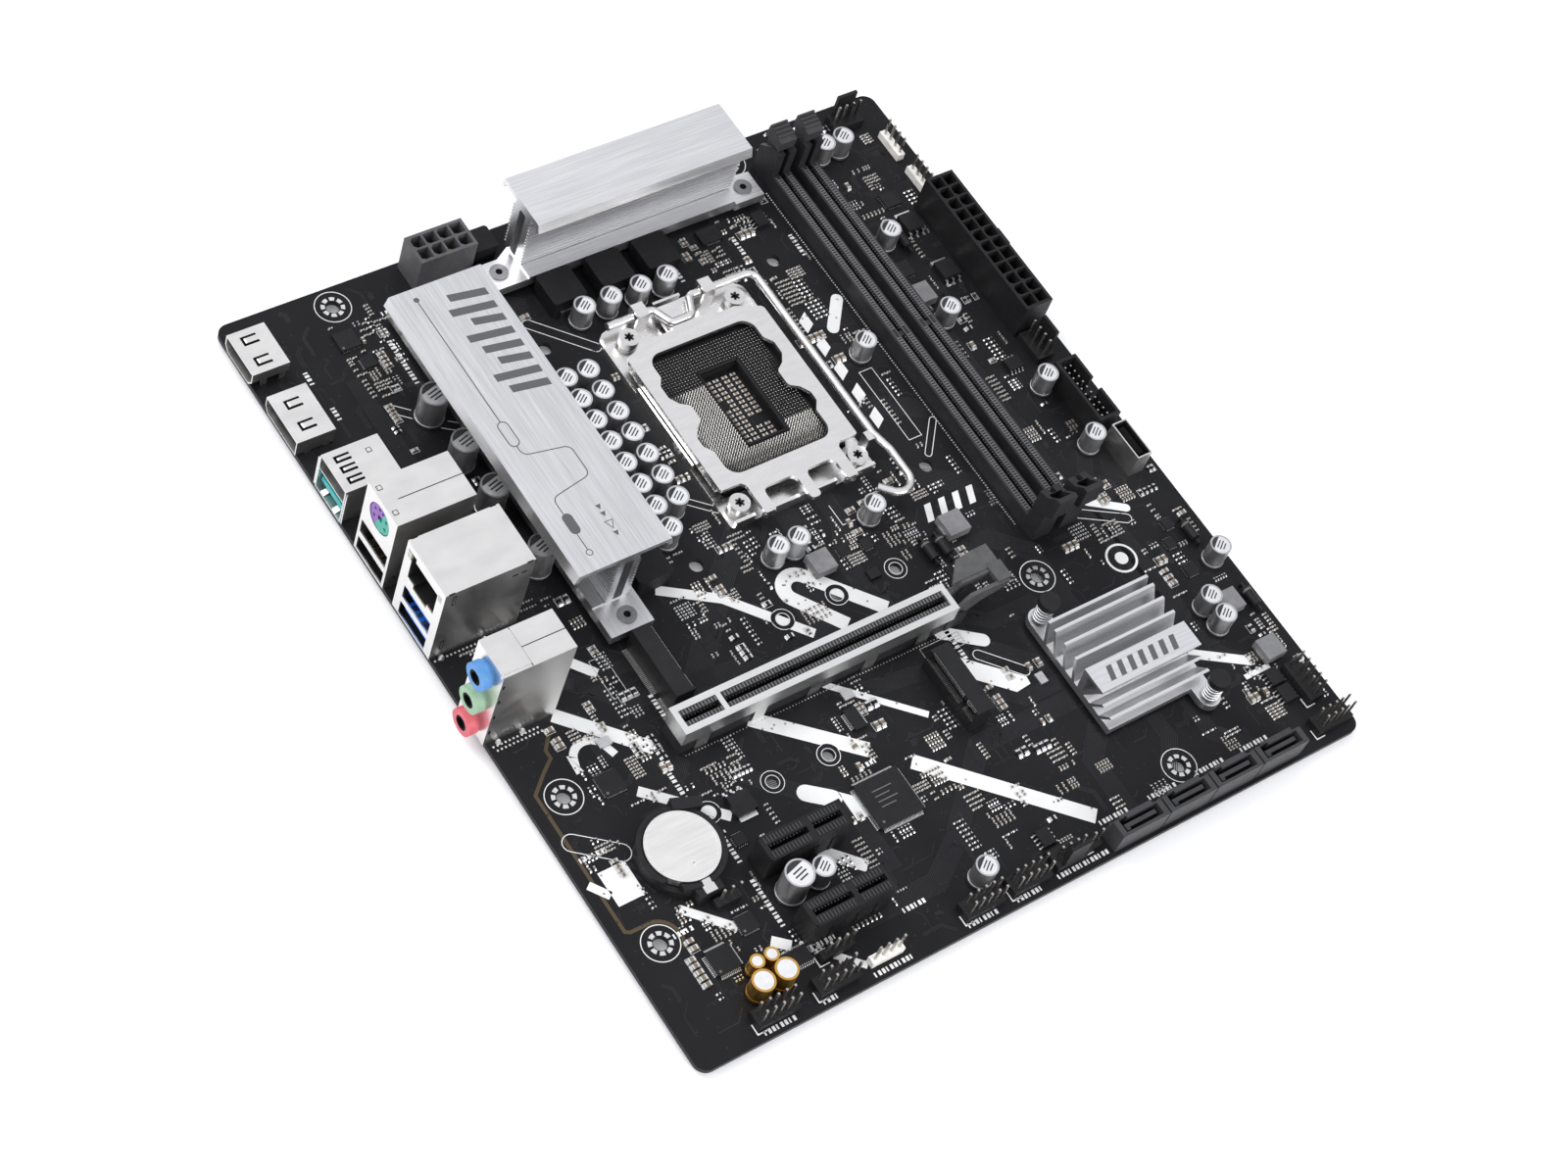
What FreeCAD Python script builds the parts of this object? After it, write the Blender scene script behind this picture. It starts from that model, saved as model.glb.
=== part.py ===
import FreeCAD, Part
import Sketcher
import math
import os

# Micro-ATX computer motherboard, modelled as separate parts on a circuit board.
# Board grid: X runs from the rear (port) edge to the front edge, Y from the lower (audio) edge to the
# upper (CPU power) edge, Z = 0 is the component side of the board. All lengths are millimetres.
# The part's own origin is the axis of the rear middle mounting hole, on the underside of the board.

V = FreeCAD.Vector
doc = FreeCAD.newDocument("motherboard")
os.makedirs("parts", exist_ok=True)

DIMS = {
    "board_depth": 220.98,          # rear edge to front edge
    "board_height": 243.84,         # lower edge to upper edge
    "board_thickness": 1.6,
    "board_corner": 3.6,
    "mount_hole_radius": 1.98,
    "cooler_hole_radius": 2.05,
    "standoff_hole_radius": 1.75,
    "frame_hole_radius": 1.9,
    "cooler_spacing": 78.0,
    "socket_body_height": 4.4,
    "socket_frame_sheet": 1.2,
    "load_plate_sheet": 1.2,
    "lever_wire_radius": 1.2,
    "backplate_thickness": 1.8,
    "contact_slab": 0.5,
    "heatsink_height": 24.0,
    "heatsink_foot": 3.0,
    "heatsink_lift": 2.0,
    "insert_radius": 2.7,
    "sink_screw_radius": 2.9,
    "frame_screw_radius": 3.0,
    "choke_height": 6.0,
    "mosfet_height": 1.0,
    "small_can_radius": 3.15,
    "small_can_height": 7.5,
    "large_can_radius": 4.0,
    "large_can_height": 10.6,
    "seal_height": 0.7,
    "chipset_sink_length": 35.2,
    "chipset_sink_base": 2.4,
    "push_pin_radius": 3.0,
    "spring_radius": 2.3,
    "spring_wire_radius": 0.36,
    "dimm_width": 6.4,
    "dimm_body_height": 5.8,
    "dimm_latch_width": 5.6,
    "graphics_latch_sheet": 1.0,
    "slot_height": 10.9,
    "shield_height": 11.25,
    "key_slot_height": 8.5,
    "power_housing_height": 13.0,
    "power_pitch": 4.2,
    "power_pin_length": 8.0,
    "sata_height": 8.4,
    "header_block_height": 2.5,
    "header_pin_length": 6.2,
    "header_pitch": 2.54,
    "front_header_height": 9.0,
    "hdmi_depth": 11.2,
    "displayport_depth": 11.6,
    "stack_height": 29.1,
    "lan_stack_height": 29.9,
    "audio_height": 32.9,
    "usb_height": 14.0,
    "usb_tongue_thickness": 1.9,
    "tongue_width": 11.2,
    "keyboard_insert_depth": 8.6,
    "jack_neck_length": 14.0,
    "cell_radius": 10.0,
    "cell_thickness": 3.2,
    "ic_height": 1.4,
    "inductor_height": 3.0,
    "diode_radius": 1.35,
    "crystal_height": 0.9,
}
D = DIMS

sheet = doc.addObject("Spreadsheet::Sheet", "Dims")
for row, (alias, value) in enumerate(DIMS.items(), start=1):
    sheet.set("A%d" % row, alias)
    sheet.set("B%d" % row, repr(value))
    sheet.setAlias("B%d" % row, alias)
doc.recompute()

ORIGIN = V(10.16, 80.01, -D["board_thickness"])
SOCKET = (118.5, 162.9)                       # centre of the CPU socket
LEVER_Y = 198.3                               # axis of the load lever's hinge rod
LEVER_Z = 5.2
NODES = []


# ---------------------------------------------------------------- helpers
def bind(obj, links):
    for prop, expression in links.items():
        obj.setExpression(prop, expression)
    return obj


def box(corner, opposite, **links):
    """A block between two opposite corners."""
    obj = doc.addObject("Part::Box", "block")
    obj.Length = opposite[0] - corner[0]
    obj.Width = opposite[1] - corner[1]
    obj.Height = opposite[2] - corner[2]
    obj.Placement.Base = V(*corner)
    return bind(obj, links)


def rod(start, radius, length, axis="z", **links):
    """A cylinder from a start point along +X, +Y or +Z."""
    turns = {
        "x": FreeCAD.Rotation(V(0, 1, 0), 90),
        "y": FreeCAD.Rotation(V(1, 0, 0), -90),
        "z": FreeCAD.Rotation(),
    }
    obj = doc.addObject("Part::Cylinder", "rod")
    obj.Radius = radius
    obj.Height = length
    obj.Placement = FreeCAD.Placement(V(*start), turns[axis])
    return bind(obj, links)


def ball(centre, radius, **links):
    obj = doc.addObject("Part::Sphere", "ball")
    obj.Radius = radius
    obj.Placement.Base = V(*centre)
    return bind(obj, links)


def prism(points, start, length, axis, **links):
    """A polygon swept along one axis; the points give the other two coordinates in X, Y, Z order."""
    spots = {
        "x": lambda p: V(start, p[0], p[1]),
        "y": lambda p: V(p[0], start, p[1]),
        "z": lambda p: V(p[0], p[1], start),
    }
    ways = {"x": V(1, 0, 0), "y": V(0, 1, 0), "z": V(0, 0, 1)}
    outline = doc.addObject("Part::Polygon", "outline")
    outline.Nodes = [spots[axis](p) for p in points]
    outline.Close = True
    obj = doc.addObject("Part::Extrusion", "prism")
    obj.Base = outline
    obj.DirMode = "Custom"
    obj.Dir = ways[axis]
    obj.LengthFwd = length
    obj.Solid = True
    return bind(obj, links)


def fuse(shapes):
    if len(shapes) == 1:
        return shapes[0]
    obj = doc.addObject("Part::MultiFuse", "union")
    obj.Shapes = shapes
    return obj


def group(shapes):
    obj = doc.addObject("Part::Compound", "set")
    obj.Links = shapes
    return obj


def cut(base, tools):
    obj = doc.addObject("Part::Cut", "cut")
    obj.Base = base
    obj.Tool = group(tools) if len(tools) > 1 else tools[0]
    return obj


def node(label, obj):
    """Names a finished part and moves it from the board grid into the part's own frame."""
    obj.Label = label
    obj.Placement = FreeCAD.Placement(obj.Placement.Base - ORIGIN, obj.Placement.Rotation)
    NODES.append(obj)
    return obj


def origin_plane(body, role):
    return next(f for f in body.Origin.OriginFeatures if f.Role == role)


def corner_arc(before, corner, after, radius):
    """Tangent points and middle point of a rounded corner."""
    u = (before - corner).normalize()
    w = (after - corner).normalize()
    half = math.acos(max(-1.0, min(1.0, u.dot(w)))) / 2
    reach = radius / math.tan(half)
    middle = (u + w).normalize()
    centre = corner + middle * (radius / math.sin(half))
    return corner + u * reach, centre - middle * radius, corner + w * reach


def outline(sketch, points, closed=True):
    """Adds a closed or open outline to a sketch; a point is (x, y) or (x, y, corner radius)."""
    spots = [V(p[0], p[1], 0) for p in points]
    radii = [p[2] if len(p) > 2 else 0 for p in points]
    count = len(spots)
    ends = []
    for i in range(count):
        if radii[i]:
            first, middle, last = corner_arc(spots[i - 1], spots[i], spots[(i + 1) % count], radii[i])
            sketch.addGeometry(Part.Arc(first, middle, last), False)
            ends.append((first, last))
        else:
            ends.append((spots[i], spots[i]))
    for i in range(count if closed else count - 1):
        here = ends[i][1]
        there = ends[(i + 1) % count][0]
        if (there - here).Length > 1e-6:
            sketch.addGeometry(Part.LineSegment(here, there), False)


def pad(body, role, offset, loops, circles, length, link):
    """Pads a sketch of outlines and bound circles, drawn on one of the body's own planes."""
    sketch = body.newObject("Sketcher::SketchObject", "Sketch")
    sketch.AttachmentSupport = [(origin_plane(body, role), "")]
    sketch.MapMode = "FlatFace"
    sketch.AttachmentOffset = FreeCAD.Placement(V(0, 0, offset), FreeCAD.Rotation())
    for loop in loops:
        outline(sketch, loop)
    for x, y, alias in circles:
        index = sketch.addGeometry(Part.Circle(V(x, y, 0), V(0, 0, 1), D[alias]), False)
        constraint = sketch.addConstraint(Sketcher.Constraint("Radius", index, D[alias]))
        sketch.setExpression("Constraints[%d]" % constraint, "Dims." + alias)
    feature = body.newObject("PartDesign::Pad", "Pad")
    feature.Profile = sketch
    feature.Length = length
    if link:
        feature.setExpression("Length", link)
    body.Tip = feature
    return feature


def add_block(body, corner, opposite):
    """Adds a block to a body."""
    block = body.newObject("PartDesign::AdditiveBox", "Block")
    block.Length = opposite[0] - corner[0]
    block.Width = opposite[1] - corner[1]
    block.Height = opposite[2] - corner[2]
    block.AttachmentSupport = [(origin_plane(body, "XY_Plane"), "")]
    block.MapMode = "FlatFace"
    block.AttachmentOffset = FreeCAD.Placement(V(*corner), FreeCAD.Rotation())
    body.Tip = block
    return block


def new_body():
    return doc.addObject("PartDesign::Body", "Body")


def rectangle(x0, y0, x1, y1, radius=0):
    return [(x0, y0, radius), (x1, y0, radius), (x1, y1, radius), (x0, y1, radius)]


# ---------------------------------------------------------------- circuit board
MOUNT_HOLES = [(10.16, 34.29), (10.16, 80.01), (33.02, 237.49), (165.10, 13.97), (165.10, 80.01), (165.10, 237.49)]
HALF_COOLER = D["cooler_spacing"] / 2
COOLER_HOLES = [(SOCKET[0] + i * HALF_COOLER, SOCKET[1] + j * HALF_COOLER) for i in (-1, 1) for j in (-1, 1)]
STANDOFF_HOLES = [(91.5, 99.5), (109.5, 99.5), (129.5, 99.5), (79.3, 59.6), (61.3, 59.6), (41.3, 59.6)]
FRAME_SCREWS = [(100.8, 193.1), (136.7, 193.1), (98.9, 133.7), (138.4, 133.1)]
SINK_SCREWS = [(51.3, 116.6), (51.3, 223.4), (78.6, 226.6), (160.6, 225.2)]

board = new_body()
pad(
    board, "XY_Plane", -D["board_thickness"],
    [rectangle(0, 0, D["board_depth"], D["board_height"], D["board_corner"])],
    [(x, y, "mount_hole_radius") for x, y in MOUNT_HOLES]
    + [(x, y, "cooler_hole_radius") for x, y in COOLER_HOLES]
    + [(x, y, "standoff_hole_radius") for x, y in STANDOFF_HOLES]
    + [(x, y, "frame_hole_radius") for x, y in FRAME_SCREWS + SINK_SCREWS],
    D["board_thickness"], "Dims.board_thickness",
)
node("pcb", board)

# ---------------------------------------------------------------- CPU socket
CAVITY = ((113.1, 149.8), (125.6, 174.9))     # opening in the middle of the contact field
socket_outer = box((98.3, 138.9, 0), (138.7, 186.9, 4.4), Height="Dims.socket_body_height")
socket_pocket = box((99.5, 140.2, 2.4), (137.5, 185.6, 9))
socket_window = box((CAVITY[0][0], CAVITY[0][1], -1), (CAVITY[1][0], CAVITY[1][1], 9))
socket_grips = [box((x, 158.9, 2.4), (x + 2.4, 166.9, 9)) for x in (97.8, 136.8)]
node("socket_body", cut(socket_outer, [socket_pocket, socket_window] + socket_grips))

contact_field = box((100.6, 141.4, 2.4), (136.4, 184.4, 2.9), Height="Dims.contact_slab")
contact_window = box((CAVITY[0][0] - 0.6, CAVITY[0][1] - 0.6, 2), (CAVITY[1][0] + 0.6, CAVITY[1][1] + 0.6, 4))
node("socket_contacts", cut(contact_field, [contact_window]))

frame = new_body()
pad(
    frame, "XY_Plane", 0,
    [
        [(94.2, 128.9, 1), (143.2, 128.9, 1), (143.2, 197.2, 3), (141.0, 199.2, 1.5), (133.0, 200.8, 0.6),
         (104.0, 200.8, 0.6), (96.4, 199.2, 1.5), (94.2, 197.2, 1.5)],
        rectangle(97.6, 138.2, 139.4, 187.6, 1.2),
    ],
    [(x, y, "frame_hole_radius") for x, y in FRAME_SCREWS],
    D["socket_frame_sheet"], "Dims.socket_frame_sheet",
)
add_block(frame, (95.2, 128.9, 1.0), (101.6, 129.9, 3.4))      # front upstand, split for the load plate's feet
add_block(frame, (107.4, 128.9, 1.0), (129.0, 129.9, 3.4))
add_block(frame, (135.4, 128.9, 1.0), (142.2, 129.9, 3.4))
add_block(frame, (94.2, 150.0, 1.0), (94.9, 178.0, 3.2))       # rolled rear edge
add_block(frame, (113.4, 200.0, 1.0), (122.4, 200.8, 4.4))     # stop behind the crank
add_block(frame, (142.4, 134.4, 1.0), (143.2, 137.4, 7.2))     # catch for the lever's arm
add_block(frame, (142.4, 134.4, 6.6), (144.6, 137.4, 7.2))
for x in (105.3, 127.8):                                       # the two hooks that hold the hinge rod
    add_block(frame, (x, 199.8, 1.0), (x + 3.9, 200.8, 7.4))
    add_block(frame, (x, 196.1, 6.7), (x + 3.9, 200.8, 7.4))
    add_block(frame, (x, 196.1, 1.0), (x + 3.9, 196.8, 7.4))
node("socket_frame", frame)

WINDOW = [
    (100.7, 184.4, 4.0), (135.2, 184.4, 4.0), (135.2, 177.0, 1.5), (137.2, 174.4, 1.2), (137.2, 170.2, 1.2),
    (135.4, 167.4, 1.0), (132.6, 165.6, 1.6), (132.6, 160.2, 1.6), (135.4, 158.4, 1.0), (137.2, 155.6, 1.2),
    (137.2, 152.6, 1.2), (135.2, 149.8, 1.5), (135.2, 141.0, 4.0), (100.7, 141.0, 4.0), (100.7, 149.8, 1.5),
    (98.9, 152.6, 1.2), (98.9, 155.6, 1.2), (100.6, 158.4, 1.0), (103.2, 160.2, 1.6), (103.2, 165.6, 1.6),
    (100.6, 167.4, 1.0), (98.9, 170.2, 1.2), (98.9, 174.4, 1.2), (100.7, 177.0, 1.5),
]
PLATE = [
    (95.2, 138.2, 0.8), (101.6, 138.2, 1.0), (102.8, 136.8, 1.0), (102.8, 127.0, 0.6), (106.4, 127.0, 0.6),
    (106.4, 134.4, 2.2), (117.3, 134.4, 2.2), (117.3, 125.6, 1.2), (120.7, 125.6, 1.2), (120.7, 134.4, 2.2),
    (130.4, 134.4, 2.2), (130.4, 127.0, 0.6), (134.0, 127.0, 0.6), (134.0, 136.8, 1.0), (135.2, 138.2, 1.0),
    (141.4, 138.2, 0.8), (141.4, 186.2, 1.6), (138.6, 187.2, 1.0), (133.6, 189.4, 1.0), (103.4, 189.4, 1.0),
    (98.4, 187.2, 1.0), (95.2, 186.2, 1.6),
]
plate = new_body()
pad(plate, "XY_Plane", 5.0, [PLATE, WINDOW], [], D["load_plate_sheet"], "Dims.load_plate_sheet")
add_block(plate, (95.2, 140.0, 3.3), (96.3, 184.0, 5.4))       # sides folded down
add_block(plate, (140.3, 140.0, 3.3), (141.4, 184.0, 5.4))
add_block(plate, (102.8, 127.0, 2.9), (106.4, 128.2, 5.4))     # feet at the front
add_block(plate, (130.4, 127.0, 2.9), (134.0, 128.2, 5.4))
add_block(plate, (112.8, 189.2, 2.6), (122.6, 190.4, 6.2))     # tab that the crank presses on
add_block(plate, (112.8, 189.2, 2.6), (122.6, 199.2, 3.7))
node("socket_load_plate", plate)

# The lever is one bent wire: hinge rod with a crank, corner, long arm and a turned-back handle.
LEVER_PATH = [
    (96.6, LEVER_Y), (111.6, LEVER_Y, 1.8), (114.4, 192.2, 1.8), (121.2, 192.2, 1.8), (124.0, LEVER_Y, 1.8),
    (146.1, LEVER_Y, 3.0), (146.1, 137.0, 6.0), (147.6, 130.6, 6.0), (147.6, 111.3, 4.4), (137.0, 121.5),
]
path = doc.addObject("Sketcher::SketchObject", "path")
outline(path, LEVER_PATH, closed=False)
path.Placement.Base = V(0, 0, LEVER_Z)
section = doc.addObject("Part::Circle", "section")
section.Placement = FreeCAD.Placement(V(96.6, LEVER_Y, LEVER_Z), FreeCAD.Rotation(V(0, 1, 0), 90))
bind(section, {"Radius": "Dims.lever_wire_radius"})
lever = doc.addObject("Part::Sweep", "lever")
lever.Sections = [section]
lever.Spine = (path, [])
lever.Solid = True
node("socket_load_lever", lever)

screws = []
for x, y in FRAME_SCREWS:
    head = rod((x, y, 2.6), 3.0, 2.2, Radius="Dims.frame_screw_radius")
    shoulder = rod((x, y, 1.3), 2.3, 1.3)
    shank = rod((x, y, -3.0), 1.5, 4.3)
    drive = [rod((x, y, 3.4), 0.9, 3)]
    for turn in range(6):
        angle = math.radians(60 * turn)
        drive.append(rod((x + 1.05 * math.cos(angle), y + 1.05 * math.sin(angle), 3.4), 0.42, 3))
    screws.append(cut(fuse([head, shoulder, shank]), drive))
node("socket_screws", group(screws))

backplate = new_body()
pad(
    backplate, "XY_Plane", -D["board_thickness"] - D["backplate_thickness"],
    [
        rectangle(93.5, 128.5, 143.5, 198.5, 6),
        rectangle(102.5, 145.0, 134.5, 181.0, 4),
    ],
    [(x, y, "frame_hole_radius") for x, y in FRAME_SCREWS],
    D["backplate_thickness"], "Dims.backplate_thickness",
)
node("socket_backplate", backplate)

# ---------------------------------------------------------------- voltage regulator heat sinks
FOOT_TOP = D["heatsink_lift"] + D["heatsink_foot"]
TOP = D["heatsink_lift"] + D["heatsink_height"]


def ribbed_wall(middle, half, left, right):
    """Cross-section of a heat sink: ribbed hollow wall under a top plate with folded edges."""
    deep = half + 0.8
    profile = [(middle - half, FOOT_TOP - 0.4)]
    rib = FOOT_TOP + 0.8
    while rib < TOP - 3.6:
        profile += [(middle - half, rib), (middle - deep, rib + 0.2)]
        profile += [(middle - deep, rib + 0.6), (middle - half, rib + 0.8)]
        rib += 1.3
    profile += [(middle - half, TOP - 1.5), (left + 2.0, TOP - 1.5), (left + 1.4, TOP - 3.0), (left, TOP - 3.0)]
    profile += [(left + 1.0, TOP), (right - 1.0, TOP)]
    profile += [(right, TOP - 3.0), (right - 1.4, TOP - 3.0), (right - 2.0, TOP - 1.5), (middle + half, TOP - 1.5)]
    rib -= 1.3
    while rib > FOOT_TOP + 0.5:
        profile += [(middle + half, rib + 0.8), (middle + deep, rib + 0.6)]
        profile += [(middle + deep, rib + 0.2), (middle + half, rib)]
        rib -= 1.3
    profile += [(middle + half, FOOT_TOP - 0.4)]
    return profile


def wall_slot(middle):
    return [(middle - 1.4, FOOT_TOP + 0.6, 0.6), (middle + 1.4, FOOT_TOP + 0.6, 0.6),
            (middle + 1.4, TOP - 3.0, 0.6), (middle - 1.4, TOP - 3.0, 0.6)]


rear_sink = new_body()
pad(
    rear_sink, "XY_Plane", D["heatsink_lift"], [rectangle(43.8, 112.2, 57.2, 227.6)],
    [(x, y, "frame_hole_radius") for x, y in SINK_SCREWS[:2]], D["heatsink_foot"], "Dims.heatsink_foot",
)
pad(rear_sink, "XZ_Plane", -218.4, [ribbed_wall(51.4, 3.0, 34.3, 64.8), wall_slot(51.4)], [], 96.4, "")
add_block(rear_sink, (43.8, 122.0, 4.6), (48.6, 218.4, 5.6))
node("vrm_heatsink_rear", rear_sink)

top_sink = new_body()
FEET = [(73.6, 221.4), (155.4, 221.4), (155.4, 220.7), (165.4, 220.7), (165.4, 229.6), (155.4, 230.4),
        (155.4, 233.4), (85.2, 233.4), (80.4, 230.8), (73.6, 230.8)]
pad(
    top_sink, "XY_Plane", D["heatsink_lift"], [FEET],
    [(x, y, "frame_hole_radius") for x, y in SINK_SCREWS[2:]], D["heatsink_foot"], "Dims.heatsink_foot",
)
pad(top_sink, "YZ_Plane", 85.4, [ribbed_wall(230.8, 3.8, 222.6, 242.2), wall_slot(230.8)], [], 71.7, "")
add_block(top_sink, (85.4, 221.4, 4.6), (155.4, 227.0, 5.6))
node("vrm_heatsink_top", top_sink)

fixings = []
nuts = []
for x, y in SINK_SCREWS:
    nut = rod((x, y, FOOT_TOP), 2.7, 0.5, Radius="Dims.insert_radius")
    nuts.append(cut(nut, [rod((x, y, 4), 1.0, 3)]))
    head = rod((x, y, -3.0), 2.9, 1.4, Radius="Dims.sink_screw_radius")
    fixings.append(fuse([head, rod((x, y, -1.8), 1.4, 6.4)]))
node("heatsink_inserts", group(nuts))
node("heatsink_screws", group(fixings))

REAR_PHASES = [127.8 + 15.4 * i for i in range(6)]
TOP_PHASES = [92.1, 108.3, 123.9]
mosfets = [box((46.0, y - 3, 0), (51.0, y + 3, 1.0), Height="Dims.mosfet_height") for y in REAR_PHASES]
mosfets += [box((x - 3, 224.0, 0), (x + 3, 229.0, 1.0), Height="Dims.mosfet_height") for x in TOP_PHASES + [139.0]]
node("vrm_mosfets", group(mosfets))
pads = [box((45.0, 124.6, 1.0), (56.0, 212.0, 2.0)), box((88.0, 223.0, 1.0), (144.0, 231.0, 2.0))]
pads[0].setExpression("Height", "Dims.heatsink_lift - Dims.mosfet_height")
pads[1].setExpression("Height", "Dims.heatsink_lift - Dims.mosfet_height")
node("thermal_pads", group(pads))


def choke(x0, y0, wide, tall, **links):
    """Moulded choke with softened upper corners."""
    block = box((x0, y0, 0), (x0 + wide, y0 + wide, tall), **links)
    soft = doc.addObject("Part::Chamfer", "soft")
    soft.Base = block
    soft.Edges = [(edge, 0.6, 0.6) for edge in (1, 3, 5, 7)]
    return soft


chokes = [choke(59.2, y - 5.4, 10.8, 6.0, Height="Dims.choke_height") for y in REAR_PHASES]
chokes += [choke(x - 5.4, 210.0, 10.8, 6.0, Height="Dims.choke_height") for x in TOP_PHASES]
chokes.append(choke(75.2, 233.8, 7.6, 7.0))
node("vrm_chokes", group(chokes))

# ---------------------------------------------------------------- capacitors
SMALL_CANS = [(82.6, 141.1 + 7.6 * i) for i in range(7)]
SMALL_CANS += [(75.5, 133.5 + 7.6 * i) for i in range(8)]
SMALL_CANS += [(93.2, 205.6), (102.0, 205.6), (111.9, 205.6), (120.9, 205.6)]
SMALL_CANS += [(99.1, 116.2), (105.9, 116.2), (131.5, 116.2), (161.3, 163.2), (191.6, 163.1), (191.4, 193.5)]
SMALL_CANS += [(191.5, 228.1), (198.2, 228.1), (204.4, 131.7), (205.0, 109.1), (215.2, 62.4), (202.3, 50.6)]
SMALL_CANS += [(202.4, 43.9), (94.2, 11.4), (55.6, 30.7)]
LARGE_CANS = [(38.2, 194.8), (38.0, 178.4), (37.8, 162.9), (39.4, 141.4), (47.2, 30.9)]
AUDIO_CANS = [(26.4, 17.2, 2.0, 5.4), (30.8, 17.2, 2.0, 5.4), (24.2, 11.6, 3.15, 7.0), (31.2, 11.6, 3.15, 7.0)]


def can(x, y, radius, tall, kind):
    """A metal can with a rolled edge at the foot and a slightly raised rim on top."""
    seat = D["seal_height"]
    links = {"Radius": "Dims.%s_can_radius" % kind, "Height": "Dims.%s_can_height" % kind}
    side = rod((x, y, seat), radius, tall, **links)
    foot = rod((x, y, seat), radius + 0.15, 0.7)
    return cut(fuse([side, foot]), [rod((x, y, seat + tall - 0.15), radius - 0.45, 1)])


small_cans = [can(x, y, D["small_can_radius"], D["small_can_height"], "small") for x, y in SMALL_CANS]
large_cans = [can(x, y, D["large_can_radius"], D["large_can_height"], "large") for x, y in LARGE_CANS]
node("capacitors_small", group(small_cans))
node("capacitors_large", group(large_cans))
seals = [rod((x, y, 0), D["small_can_radius"] - 0.3, 0.7, Height="Dims.seal_height") for x, y in SMALL_CANS]
seals += [rod((x, y, 0), D["large_can_radius"] - 0.3, 0.7, Height="Dims.seal_height") for x, y in LARGE_CANS]
seals += [rod((x, y, 0), radius - 0.25, 0.7, Height="Dims.seal_height") for x, y, radius, tall in AUDIO_CANS]
node("capacitor_seals", group(seals))
audio_cans = [rod((x, y, 0.7), radius, tall) for x, y, radius, tall in AUDIO_CANS]
for item in audio_cans:
    item.setExpression("Placement.Base.z", "Dims.seal_height")
node("capacitors_audio", group(audio_cans))

# ---------------------------------------------------------------- chipset
node("chipset_package", box((157.5, 34.0, 0), (182.5, 58.0, 1.4), Height="Dims.ic_height"))

SINK_X = 151.4
SINK_TOP = 11.8


def lean(bottom, top, tall=SINK_TOP - 0.6):
    """One fin of the chipset heat sink, leaning from its foot to its tip."""
    return prism(
        [(bottom - 0.6, 3.6), (bottom + 0.6, 3.6), (top + 0.45, tall), (top - 0.45, tall)],
        SINK_X, D["chipset_sink_length"], "x", LengthFwd="Dims.chipset_sink_length",
    )


sink_parts = [box((SINK_X, 30.3, 1.4), (SINK_X + 35.2, 61.4, 3.8), Length="Dims.chipset_sink_length",
                  Height="Dims.chipset_sink_base")]
sink_parts += [lean(60.2, 62.4), lean(55.6, 59.4), lean(51.2, 54.8), lean(47.2, 49.9)]
sink_parts += [lean(39.0, 35.6, 8.2), lean(34.8, 31.8, 7.4)]
# The wide fin carries a flat badge plate, held by a brace below it.
badge = [(43.6, 3.6), (45.2, 3.6), (45.9, SINK_TOP), (37.7, SINK_TOP), (37.7, SINK_TOP - 1.0), (43.9, SINK_TOP - 1.0)]
brace = [(42.4, 3.6), (43.8, 3.6), (38.8, SINK_TOP - 0.4), (37.7, SINK_TOP - 0.4)]
for profile in (badge, brace):
    sink_parts.append(prism(profile, SINK_X, D["chipset_sink_length"], "x", LengthFwd="Dims.chipset_sink_length"))
PIN_SPOTS = [(154.9, 67.2), (184.0, 26.4)]
TAB_RADIUS = 3.4
(upper_x, upper_y), (lower_x, lower_y) = PIN_SPOTS
sink_parts.append(box((SINK_X, 60.0, 1.4), (upper_x + TAB_RADIUS, upper_y, 3.8)))
sink_parts.append(box((lower_x - TAB_RADIUS, lower_y, 1.4), (SINK_X + D["chipset_sink_length"], 31.0, 3.8)))
sink_parts += [rod((x, y, 1.4), TAB_RADIUS, 2.4) for x, y in PIN_SPOTS]
node("chipset_heatsink", cut(fuse(sink_parts), [rod((x, y, 0), 1.7, 6) for x, y in PIN_SPOTS]))

pins = []
springs = []
for x, y in PIN_SPOTS:
    head = rod((x, y, 10.8), 3.0, 2.2, Radius="Dims.push_pin_radius")
    pins.append(fuse([head, rod((x, y, 0.1), 1.3, 11)]))
    for turn in range(5):                     # one ring for each turn of the coil
        ring = doc.addObject("Part::Torus", "turn")
        ring.Radius1 = D["spring_radius"]
        ring.Radius2 = D["spring_wire_radius"]
        ring.Placement.Base = V(x, y, 4.4 + 1.4 * turn)
        springs.append(bind(ring, {"Radius1": "Dims.spring_radius", "Radius2": "Dims.spring_wire_radius"}))
node("push_pins", group(pins))
node("push_pin_springs", group(springs))

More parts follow.
